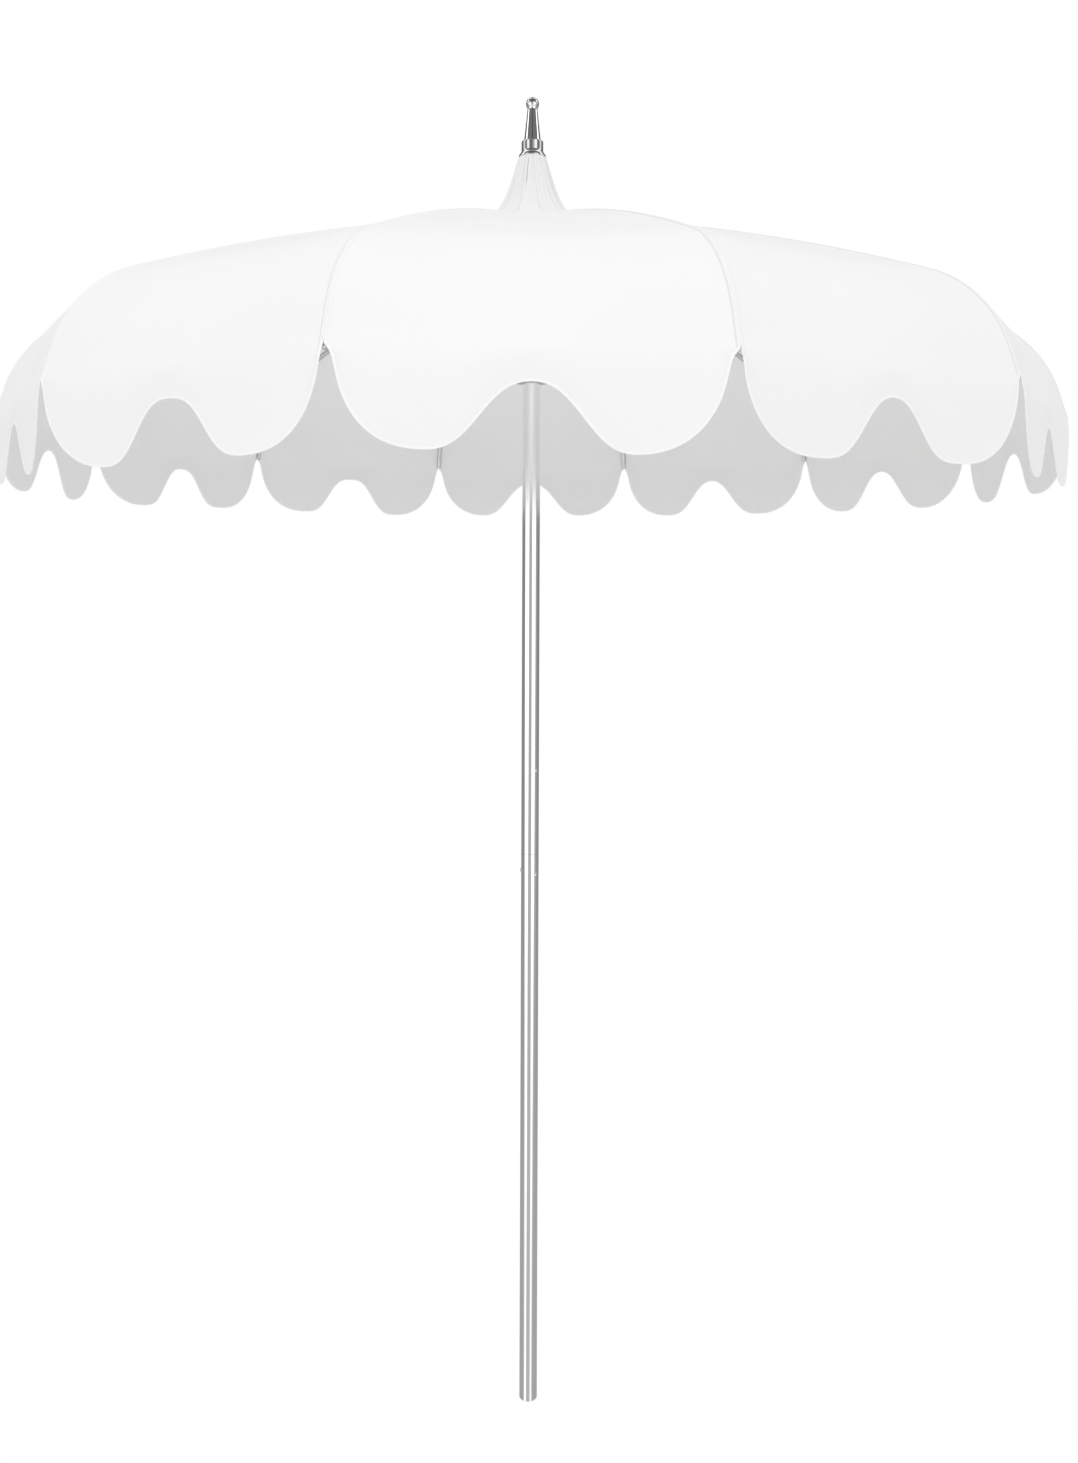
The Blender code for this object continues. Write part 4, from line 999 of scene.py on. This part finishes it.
def gathers(angle, radius):
    """Depth of the neck's gathers from 0 to 1: narrow furrows exp(-(a/w)^2) at uneven angles, each of
    which dies out at its own radius."""
    away = (np.asarray(angle)[..., None] - gather_angle + math.pi) % (2 * math.pi) - math.pi
    reach = 1 - smooth(np.asarray(radius)[..., None], 0.55 * gather_end, gather_end)
    return (gather_weight * np.exp(-((away / gather_width) ** 2)) * reach).sum(-1)


def canvas(gore, across, distance, hang=0.0):
    """Points of the canvas's outer face. across runs from -1 to 1 between a gore's two ribs, distance
    runs along the rib, and hang from 0 at the rib tips to 1 at the hem.

    The gore is a straight chord from rib to rib that sags a little, round at the neck. The valance
    hangs from the chord of the tips, and its lobes curl in or out a few millimetres. Where a notch is
    cut above its rib's tip, the rows above it draw together.
    """
    side = np.where(across > 0, 1, 0)
    top = NOTCH_DROP - notch_rise[(gore + side) % SECTORS]
    from_edge = 1 - np.abs(across)
    hem = scallop(from_edge, notch[gore, side], steepness[gore], narrowness[gore], top, valley[gore])
    short = np.maximum(0, NOTCH_DROP - hem)
    distance = distance - short * smooth(distance, RIB_LENGTH - NOTCH_REACH, RIB_LENGTH)
    radius, height = canvas_line(distance)
    ahead = canvas_line(np.minimum(distance + 1e-4, RIB_LENGTH))
    behind = canvas_line(np.minimum(distance, RIB_LENGTH - 1e-4) - 1e-4)
    run = ahead[0] - behind[0]
    rise = ahead[1] - behind[1]
    reach = np.hypot(run, rise)
    square = smooth(radius, NECK_TOP_RADIUS, CROWN_END_RADIUS)
    half = SECTOR / 2
    x = radius * (math.cos(half) * square + np.cos(across * half) * (1 - square))
    y = radius * (across * math.sin(half) * square + np.sin(across * half) * (1 - square))
    along = np.clip(distance / RIB_LENGTH, 0, 1)
    span = 1 - across**2
    from_seam = (1 - np.abs(across)) * radius * math.sin(half)
    sag = SAG * slack[gore] * span * np.sin(math.pi * along) * square
    ripple = RIPPLE * np.sin(9 * across + phase[gore, 0]) * np.exp(-(((distance - 0.1) / 0.2) ** 2)) * span
    sway = SWAY * np.sin(5.0 * along + 2.2 * across + phase[gore, 1]) * span * smooth(along, 0.1, 0.4)
    sway = sway * smooth(1 - along, 0.0, 0.1)
    furrow = gathers((gore + across / 2) * SECTOR, radius)
    gather = GATHER_DEPTH * (0.5 - furrow) * smooth(radius, NECK_TOP_RADIUS, GATHER_START)
    gather = gather * (1 - smooth(radius, *GATHER_FADE))
    ridge = SEAM_RISE * (1 - smooth(from_seam, SEAM_HALF - SEAM_EDGE, SEAM_HALF + SEAM_EDGE))
    ridge = ridge * smooth(radius, 0.06, 0.1)
    puff = ridge + gather + ripple + sway - sag
    x = x - puff * rise / reach
    z = height + puff * run / reach
    lobe = np.sin(math.pi * across) ** 2
    fall = hang * (hem + short + trim[gore, side] * lobe)
    x = x + VALANCE_FLARE * VALANCE_EASE * (1 - np.exp(-fall / VALANCE_EASE))
    x = x + LOBE_CURL * curl[gore, side] * lobe * hang**2
    z = z - fall
    turn = FRONT + gore * SECTOR
    return np.stack([x * np.cos(turn) - y * np.sin(turn), x * np.sin(turn) + y * np.cos(turn), z], -1)


def canvas_distance(radius):
    """Distance along the rib at which the canvas has a radius."""
    table = np.linspace(-pivot_radius, RIB_LENGTH, 4000)
    return float(np.interp(radius, canvas_line(table)[0], table))


table = np.linspace(canvas_distance(NECK_TOP_RADIUS), RIB_LENGTH, 6000)
line_radius, line_height = canvas_line(table)
bend = np.unwrap(np.arctan2(np.gradient(line_height), np.gradient(line_radius)))
bend = np.concatenate([[0], np.cumsum(np.abs(np.diff(bend)))])
share = np.linspace(0, 1, len(table)) + 1.3 * bend / bend[-1]
stations = np.interp(np.linspace(0, share[-1], CANVAS_ROWS), share, table)
station_radius = canvas_line(stations)[0]

half_columns = np.concatenate(
    [np.linspace(0, 0.03, 6), np.linspace(0.036, 0.2, 15), np.linspace(0.226, 1, 28)]
)
beyond = 1 + (1 - half_columns[-2])
columns = np.concatenate([[-beyond], -half_columns[::-1], half_columns[1:], [beyond]])
seam_column = len(half_columns)

panel = np.arange(SECTORS)[:, None, None]
gore = np.where(columns < 0, panel - 1, panel) % SECTORS
across = np.where(columns < 0, 1 + columns, columns - 1)[None, None]
hang = np.concatenate([np.zeros(CANVAS_ROWS), np.linspace(0, 1, VALANCE_ROWS + 1)[1:] ** 0.8])
rows = np.concatenate([stations, np.full(VALANCE_ROWS, RIB_LENGTH)])
cloth = canvas(gore, across, rows[None, :, None], hang[None, :, None])
facing = np.cross(np.gradient(cloth, axis=2), np.gradient(cloth, axis=1))
facing /= -np.linalg.norm(facing, axis=-1, keepdims=True)
cloth = cloth[:, :, 1:-1]
facing = facing[:, :, 1:-1]
across = across[0, 0, 1:-1]
lining = cloth - CANVAS_THICKNESS * facing
cloth_angle = (gore + np.where(columns < 0, 1 + columns, columns - 1) / 2) * SECTOR
row_radius = canvas_line(rows)[0][None, :, None]
# Painted shade on the neck: darker all over towards the finial, and darker still along the furrows of its
# gathers.
dusk = 0.5 + 0.5 * np.minimum(1.4, gathers(cloth_angle, row_radius))
dusk = (dusk * (1 - smooth(row_radius, 0.045, 0.12)))[:, :, 1:-1]
half_width = np.abs(station_radius) * math.sin(SECTOR / 2)
width = np.concatenate([half_width, np.full(VALANCE_ROWS, half_width[-1])])
fall = path_length(cloth[0, :, seam_column // 2])


def canvas_finish(name, light, shade, painted_shade_colour, thread):
    """Plain woven canvas: threads over and under on the piece's own UV map, slubs and a soft sheen. Painted
    shade darkens it along one side of each seam, where the seam's doubled cloth ends, and on the neck and
    its gathers."""
    finish = Finish(name, {"Sheen Weight": 0.12, "Sheen Roughness": 0.4, "Specular IOR Level": 0.25})
    place = finish.add("ShaderNodeUVMap", {"uv_map": "cut"})
    split = finish.add("ShaderNodeSeparateXYZ", {}, {"Vector": place})
    u = split
    v = Number(finish, split.socket.node.outputs[1])
    weave = (u * (math.pi / thread)).sine() * (v * (math.pi / thread)).sine()
    warp = finish.noise(place, (900.0, 14.0, 1.0))
    weft = finish.noise(place, (14.0, 900.0, 1.0))
    clouds = finish.noise(place, (5.0, 5.0, 5.0), 4.0)
    seam = finish.add("ShaderNodeAttribute", {"attribute_name": "from_seam"}, output="Fac")
    # Painted neck shade, read from the cloth's point attribute.
    dusk = finish.add("ShaderNodeAttribute", {"attribute_name": "dusk"}, output="Fac")
    shading = 0.35 * (weave * 0.5 + 0.5) + 0.3 * warp + 0.3 * weft + 0.25 * clouds.step(0.35, 0.7) - 0.1
    # Painted shade: a dark line along one side of each seam, kept off the neck.
    painted_seam_shade = seam.step(0.0036, 0.0046) * (1.0 - seam.step(0.0056, 0.0072)) * (1.0 - dusk)
    colour = finish.mix(shading, light, shade)
    # Painted shade: the seam lines and the neck shade pull the colour towards a darker grey.
    finish.vary("Base Color", finish.mix(0.8 * painted_seam_shade + 0.8 * dusk, colour, painted_shade_colour))
    finish.vary("Roughness", 0.82 + 0.12 * warp)
    finish.bump(weave * 0.5 + 0.35 * warp + 0.35 * weft, 0.00022, 0.45)
    return finish.material


# The last colour is the painted shade colour of the seams and the neck.
canvas_material = canvas_finish(
    "white_canvas_weave", (0.9, 0.9, 0.895), (0.855, 0.856, 0.852), (0.73, 0.73, 0.727), 0.0011
)


def shell(name, outer, inner, normal, dusk, u, v, seam, around=False):
    """A thin closed shell from an outer and an inner grid of points and their shared normals: both
    faces, and a rim along each open border."""
    count = outer.shape[0] * outer.shape[1]
    number = np.arange(count).reshape(outer.shape[:2])
    if around:
        number = np.concatenate([number, number[:, :1]], 1)
    face = np.stack([number[:-1, :-1], number[1:, :-1], number[1:, 1:], number[:-1, 1:]], -1).reshape(-1, 4)
    borders = [number[0], number[-1][::-1]]
    if not around:
        borders += [number[::-1, 0], number[:, -1]]
    rims = [np.stack([b[:-1], b[1:], b[1:] + count, b[:-1] + count], -1) for b in borders]
    faces = np.concatenate([face, face[:, ::-1] + count, *rims])
    mesh = bpy.data.meshes.new(name)
    mesh.from_pydata(np.concatenate([outer.reshape(-1, 3), inner.reshape(-1, 3)]), [], faces.tolist())
    mesh.shade_smooth()
    cut_map = mesh.uv_layers.new(name="cut")
    place = np.stack([np.tile(u.ravel(), 2), np.tile(v.ravel(), 2)], 1)
    cut_map.data.foreach_set("uv", place[faces.ravel()].astype(np.float32).ravel())
    # Each point also carries its painted neck shade.
    for mark, values in (("from_seam", seam), ("dusk", dusk)):
        attribute = mesh.attributes.new(mark, "FLOAT", "POINT")
        attribute.data.foreach_set("value", np.tile(values.ravel(), 2).astype(np.float32))
    directions = np.concatenate([normal.reshape(-1, 3), -normal.reshape(-1, 3)])
    mesh.normals_split_custom_set_from_vertices(directions)
    return placed(name, mesh)


def spread(row):
    """Distance of each column from the gore's middle line at each row, along the chord."""
    return width[row, None] * across[None]


def from_seam(u, row):
    """Distance from the nearer seam, below zero beside the seam at the gore's left."""
    return (width[row, None] - np.abs(u)) * np.where(u < 0, -1, 1)


def panel_piece(name, index, first, last):
    """The part of a panel's cloth between two rows."""
    row = np.arange(first, last + 1)
    u = spread(row)
    v = np.broadcast_to(fall[row, None], u.shape)
    part = (index, slice(first, last + 1))
    return shell(name, cloth[part], lining[part], facing[part], dusk[part], u, v, from_seam(u, row))


neck_end = int(np.argmin(np.abs(station_radius - NECK_END_RADIUS)))
crown_end = int(np.argmin(np.abs(station_radius - CROWN_END_RADIUS)))
tip_row = CANVAS_ROWS - 1

row = np.arange(neck_end + 1)
grids = (cloth, lining, facing, dusk)
around = [np.concatenate([grid[i, : neck_end + 1, :-1] for i in range(SECTORS)], 1) for grid in grids]
u = np.tile(spread(row)[:, :-1], (1, SECTORS))
v = np.broadcast_to(fall[row, None], u.shape)
seam = np.tile(from_seam(spread(row), row)[:, :-1], (1, SECTORS))
neck = shell("canopy_neck_cloth", *around, u, v, seam, around=True)
fitted(neck, canvas_material, "white_canvas", "pole", "canopy_neck")
neck_round = 2 * math.pi * station_radius[row]

mid_edge = cloth[0, : tip_row + 1, -1]
number, out, beside, anchor = rib_frame(0)
edge_out = mid_edge @ out - pivot_radius
edge_up = mid_edge[:, 2] - pivot_height
folded = pivot_radius + edge_out * math.cos(FOLD_ANGLE) + edge_up * math.sin(FOLD_ANGLE)
needed = folded * math.tan(SECTOR / 2) / (mid_edge @ beside)
starts = [crown_end]
for station in range(crown_end, tip_row):
    if (needed[starts[-1]] - needed[station]) * half_width[station] > PLEAT_CROSSING:
        starts.append(station)
bands = list(zip(starts, starts[1:] + [tip_row])) + [(tip_row, len(rows) - 1)]

for index in range(SECTORS):
    number, out, beside, anchor = rib_frame(index)
    crown = panel_piece(f"canopy_crown_{number}", index, neck_end, crown_end)
    crown.data.materials.append(canvas_material)
    start = out * station_radius[neck_end]
    out * station_radius[crown_end]
    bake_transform(crown)
    span = slice(neck_end, crown_end + 1)
    for band, (first, last) in enumerate(bands):
        valance = first == tip_row
        name = f"canopy_valance_{number}" if valance else f"canopy_band_{number}_{band + 1}"
        piece = panel_piece(name, index, first, last)
        nodes = [f"canopy_gore_{number}"] if band == 0 else []
        fitted(piece, canvas_material, "white_canvas", f"rib_{number}", *nodes)
        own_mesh(piece)
        if not valance:
            span = slice(first, last + 1)

# Hem binding: a white bias tape of finer weave, folded over the cut edge of the scallops and sewn
# through, so that the canvas doesn't fray.

TAPE_HALF = 0.0019
TAPE_THICK_HALF = 0.00085
TAPE_INSET = 0.0014

# Its last colour is the painted shade colour of the seams and the neck.
tape_material = canvas_finish(
    "white_binding_tape", (0.95, 0.95, 0.945), (0.91, 0.91, 0.905), (0.8, 0.8, 0.795), 0.0006
)

hem = cloth[:, -1]
hem_normal = facing[:, -1]
hem_along = unit(np.gradient(hem, axis=1))
hem_inward = unit(np.cross(hem_normal, hem_along))
hem_inward *= np.sign(hem_inward[:, seam_column - 1 : seam_column, 2:])
tape_line = hem + TAPE_INSET * hem_inward - CANVAS_THICKNESS / 2 * hem_normal
hem_length = path_length(hem)


def mapped(piece, name, values):
    """Give a piece a UV map from a value pair at each vertex."""
    layer = piece.data.uv_layers.new(name=name)
    corner = np.empty(len(piece.data.loops), int)
    piece.data.loops.foreach_get("vertex_index", corner)
    layer.data.foreach_set("uv", values[corner].astype(np.float32).ravel())


for index in range(SECTORS):
    number, out, beside, anchor = rib_frame(index)
    tape = solid(
        f"hem_binding_{number}",
        rod(tape_line[index], hem_inward[index], hem_normal[index], TAPE_HALF, TAPE_THICK_HALF, 4.0, 12),
    )
    points = np.empty(3 * len(tape.data.vertices))
    tape.data.vertices.foreach_get("co", points)
    points = points.reshape(-1, 3)
    mapped(tape, "cut", np.stack([points @ beside, points[:, 2]], 1))
    fitted(tape, tape_material, "white_canvas", f"rib_{number}")
    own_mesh(tape)

# Stitching: white thread in two rows beside each seam and one along the binding, four millimetres
# to a stitch.

STITCH_PITCH = 0.004
STITCH_HALF = 0.0015
THREAD_RADIUS = 0.00028
SEAM_ROW = 0.0034
HEM_ROW = 0.0026


def thread_finish():
    """Twisted white thread."""
    finish = Finish("white_sewing_thread", {"Roughness": 0.6, "Sheen Weight": 0.2})
    twist = finish.noise(finish.place(), (1500.0, 1500.0, 1500.0))
    finish.vary("Base Color", finish.mix(twist, (0.84, 0.84, 0.835), (0.93, 0.93, 0.925)))
    finish.bump(twist, 0.0001, 0.4)
    return finish.material


thread = thread_finish()


def stitches(name, middle_points, along, up, half):
    """A row of small spindles: each is a six-sided ring twice, closed to a point at both ends that dips
    into the cloth."""
    along = unit(along)
    up = unit(up)
    side = np.cross(up, along)
    angle = 2 * math.pi * np.arange(6) / 6
    place = np.array([-1.0, -0.55, 0.55, 1.0]) * half
    size = np.array([0.0, 1.0, 1.0, 0.0]) * THREAD_RADIUS
    lift = np.array([-0.6, 0.35, 0.35, -0.6]) * THREAD_RADIUS
    grid = (
        middle_points[:, None, None]
        + place[None, :, None, None] * along[:, None, None]
        + (size[:, None] * np.cos(angle))[None, ..., None] * side[:, None, None]
        + (size[:, None] * np.sin(angle) + lift[:, None])[None, ..., None] * up[:, None, None]
    )
    return solid(name, *grid, angle=60.0)


seam_place = np.arange(0.06, RIB_LENGTH - 0.006, STITCH_PITCH)
seam_radius = canvas_line(seam_place)[0]
seam_share = SEAM_ROW / (seam_radius * math.sin(SECTOR / 2))
for index in range(SECTORS):
    number, out, across_rib, anchor = rib_frame(index)
    rows_of = []
    for g, sign in ((index - 1) % SECTORS, 1.0), (index, -1.0):
        edge = sign * (1 - seam_share)
        at = canvas(g, edge, seam_place)
        ahead = canvas(g, edge, seam_place + 0.001) - at
        beside = canvas(g, edge - 0.2 * sign * seam_share, seam_place) - at
        up = np.cross(ahead, beside)
        up *= np.sign(up[:, 2:])
        rows_of.append((at, ahead, up))
    at, ahead, up = (np.concatenate(parts) for parts in zip(*rows_of))
    seam_stitches = stitches(f"seam_stitching_{number}", at, ahead, up, STITCH_HALF)
    fitted(seam_stitches, thread, "white_canvas", f"rib_{number}")
    total = hem_length[index, -1]
    at_length = np.arange(STITCH_PITCH, total - STITCH_PITCH / 2, STITCH_PITCH)

    def along_hem(values):
        return np.stack([np.interp(at_length, hem_length[index], values[index, :, k]) for k in range(3)], 1)

    normal = along_hem(hem_normal)
    line = along_hem(hem) + HEM_ROW * along_hem(hem_inward)
    line = line + (TAPE_THICK_HALF - CANVAS_THICKNESS / 2) * normal
    hem_stitches = stitches(f"hem_stitching_{number}", line, along_hem(hem_along), normal, STITCH_HALF)
    fitted(hem_stitches, thread, "white_canvas", f"rib_{number}")
    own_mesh(hem_stitches)
    float(
            np.trapz(
                scallop(1 - np.abs(across), NOTCH_SHARE, VALLEY_STEEPNESS, 1.0, NOTCH_DROP, VALLEY_DROP),
                columns[1:-1] * half_width[-1],
            )
        )

# Collar, top plug and stud: the nylon collar fills the neck, the plug closes the pole, and the stud
# holds the finial. All three are hidden, so their CAD stays.

dressed("neck_collar", nylon)
dressed("pole_top_plug", nylon)
dressed("finial_stud", steel)

# Finial: chromed metal, turned in two parts. The base clamps the canvas with a flared skirt below a
# straight collar, and the tapered stem with its ball screws down on the stud.

SKIRT_HEIGHT = 0.0136
SKIRT_RIM = 0.0019
BASE_RADIUS = 0.0218
STEM_RADIUS = 0.0171
STEM_TOP_RADIUS = 0.0098
STEM_LENGTH = 0.0665
BALL_RADIUS = 0.0131
STUD_BORE = 0.0033

low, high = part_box("finial_base")
t = np.linspace(0, math.pi, 22)
flare = BASE_RADIUS + (high[0] - BASE_RADIUS) * (1 + np.cos(t)) / 2
skirt = np.stack([flare, low[2] + SKIRT_RIM + (SKIRT_HEIGHT - SKIRT_RIM) * t / math.pi], 1)
base_profile = np.concatenate(
    [
        [(STUD_BORE, low[2]), (high[0] - 0.0006, low[2]), (high[0], low[2] + 0.0007)],
        skirt,
        eased([skirt[-1], (BASE_RADIUS, high[2]), (STUD_BORE, high[2])], 0.0022, 7, ring=False)[1:],
    ]
)
finial_base = solid("finial_base_turned", turned(base_profile, 96), loop=True, angle=40.0)
fitted(finial_base, chrome, "bright_chrome", "pole", "finial_base")

low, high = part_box("finial_stem")
ball_height = high[2] - BALL_RADIUS
t = np.linspace(0, 1, 24)
taper = STEM_RADIUS + (STEM_TOP_RADIUS - STEM_RADIUS) * t**0.92
shaft = np.stack([taper, low[2] + STEM_LENGTH * t], 1)
shaft = shaft[shaft[:, 1] < ball_height - BALL_RADIUS * 0.72]
lower = math.acos(float(np.clip(shaft[-1, 0] / BALL_RADIUS, 0, 1)))
t = np.linspace(-lower, math.pi / 2, 34)
ball = np.stack([BALL_RADIUS * np.cos(t), ball_height + BALL_RADIUS * np.sin(t)], 1)
ball[-1, 0] = 0
stem_foot = eased([(0, low[2]), shaft[0], shaft[1]], 0.0006, ring=False)
stem_profile = np.concatenate([stem_foot, shaft[2:], ball])
finial_stem = solid("finial_stem_turned", turned(stem_profile, 96), angle=50.0)
fitted(finial_stem, chrome, "bright_chrome", "pole", "finial_stem")

# Studio: a white cyclorama. The camera sees plain white, and the metal sees a room of bright windows
# and dark gaps. A soft lamp in front lifts the canvas, and a beam from behind lifts its front lining.

FLOOR_SIZE = 30.0
AMBIENT = 0.945
KEY_POWER = 37.0
FILL_POWER = 210.0
FLOOR_GLOW = 0.78
FLOOR_WHITE = 0.96
FLOOR_DROP = 0.0005
CAMERA_DISTANCE = 2.5
CAMERA_HEIGHT = 1.6724
CAMERA_LENS = 30.61
CAMERA_SHIFT = (0.0055, -0.1147)
CAMERA_ROLL = math.radians(-0.2)

world = bpy.data.worlds.new("studio")
bpy.context.scene.world = world
world.use_nodes = True
room = Nodes(world.node_tree)
direction = room.add("ShaderNodeTexCoord", output="Generated")
split = room.add("ShaderNodeSeparateXYZ", {}, {"Vector": direction})
x, y, z = (Number(room, split.socket.node.outputs[i]) for i in range(3))
heading = x.math("ARCTAN2", y * -1.0) * (180 / math.pi)
turn = abs(heading)
rise = z.math("ARCSINE") * (180 / math.pi)
right = heading.step(-1.0, 1.0)
below = (rise * -1.0).step(2.0, 34.0)


def strip(place, low, high, soft):
    """1 between low and high, with soft edges."""
    return place.step(low - soft, low + soft) * (1.0 - place.step(high - soft, high + soft))


soft = 3.0 + 6.0 * below
middle_gap = 1.0 - abs(heading + 4.0).step(19.0 + 8.0 * below - soft, 19.0 + 8.0 * below + soft)
outer = 79.0 - 14.0 * right - 26.0 * below
closed = turn.step(outer - 2.0 * soft, outer + 2.0 * soft)
behind = 0.24 + 0.16 * below + 0.16 * right * (1.0 - below) * (1.0 - turn.step(84.0, 94.0))
walls = 1.4 * (1.0 - middle_gap) * (1.0 - closed) + (0.42 + 0.08 * below) * middle_gap + behind * closed
collar = 0.16 + 0.85 * strip(abs(heading + 4.0), 29.0, 56.0, 6.0) + 0.6 * strip(turn, 84.0, 110.0, 4.0)
collar = collar + 0.28 * strip(heading, 2.0, 30.0, 2.0)
stem = 0.17 - 0.1 * (1.0 - turn.step(5.0, 9.0)) + 1.9 * strip(turn, 82.0, 102.0, 4.0)
zenith = 0.12 + 0.95 * strip(turn, 108.0, 156.0, 8.0)
stem = stem * (1.0 - rise.step(42.0, 54.0)) + zenith * rise.step(42.0, 54.0)
above = rise.step(9.0, 15.0)
overhead = rise.step(23.0, 28.0)
seen = walls * (1.0 - above) + collar * above
seen = seen * (1.0 - overhead) + stem * overhead
path = room.add("ShaderNodeLightPath")
ray = {socket.name: Number(room, socket) for socket in path.socket.node.outputs}
glossy = ray["Is Glossy Ray"]
camera_ray = ray["Is Camera Ray"]
level = AMBIENT * (1.0 - glossy) + seen * glossy
level = level * (1.0 - camera_ray) + camera_ray
background = room.tree.nodes["Background"]
shade = room.add("ShaderNodeCombineColor", {}, {0: level, 1: level, 2: level})
room.feed(background.inputs["Color"], shade)

mesh = bpy.data.meshes.new("floor")
reach = FLOOR_SIZE / 2
corners = [(-reach, -reach, 0), (reach, -reach, 0), (reach, reach, 0), (-reach, reach, 0)]
mesh.from_pydata(corners, [], [(0, 1, 2, 3)])
floor = placed("floor", mesh)
floor.location = (0, 0, -FLOOR_DROP)
floor.visible_glossy = False
floor_material = bpy.data.materials.new("white_floor")
floor_material.use_nodes = True
ground = Nodes(floor_material.node_tree)
path = ground.add("ShaderNodeLightPath")
strength = FLOOR_GLOW + (FLOOR_WHITE - FLOOR_GLOW) * path
glow = ground.add("ShaderNodeEmission", {}, {"Color": (1, 1, 1, 1), "Strength": strength})
matte = ground.add("ShaderNodeBsdfDiffuse", {}, {"Color": (0.05, 0.05, 0.05, 1)})
both = ground.add("ShaderNodeAddShader", {}, {0: glow, 1: matte})
under = ground.add("ShaderNodeNewGeometry", output="Backfacing")
clear = ground.add("ShaderNodeBsdfTransparent")
shown = ground.add("ShaderNodeMixShader", {}, {0: under, 1: both, 2: clear})
ground.feed(ground.tree.nodes["Material Output"].inputs["Surface"], shown)
mesh.materials.append(floor_material)

lamp = bpy.data.lights.new("key", "AREA")
lamp.shape = "RECTANGLE"
lamp.size = 5.0
lamp.size_y = 3.0
lamp.energy = KEY_POWER
key = placed("key", lamp)
key.location = (-0.2, -4.6, 3.4)
key.rotation_euler = (math.radians(72), 0, math.radians(-3))
key.visible_glossy = False
beam = bpy.data.lights.new("fill", "SPOT")
beam.spot_size = math.radians(15)
beam.spot_blend = 0.6
beam.shadow_soft_size = 0.4
beam.energy = FILL_POWER
fill = placed("fill", beam)
fill.location = (0, 2.6, 0.4)
fill.rotation_euler = (math.radians(90 + 28.5), 0, math.radians(180))
fill.visible_glossy = False
floor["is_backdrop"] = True

view = bpy.data.cameras.new("camera")
view.lens = CAMERA_LENS
view.shift_x, view.shift_y = CAMERA_SHIFT
camera = placed("camera", view)
camera.location = (0, -CAMERA_DISTANCE, CAMERA_HEIGHT)
camera.rotation_euler = (math.pi / 2, CAMERA_ROLL, 0)
bpy.context.scene.camera = camera
bpy.context.scene.view_settings.view_transform = "Standard"

low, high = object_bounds()
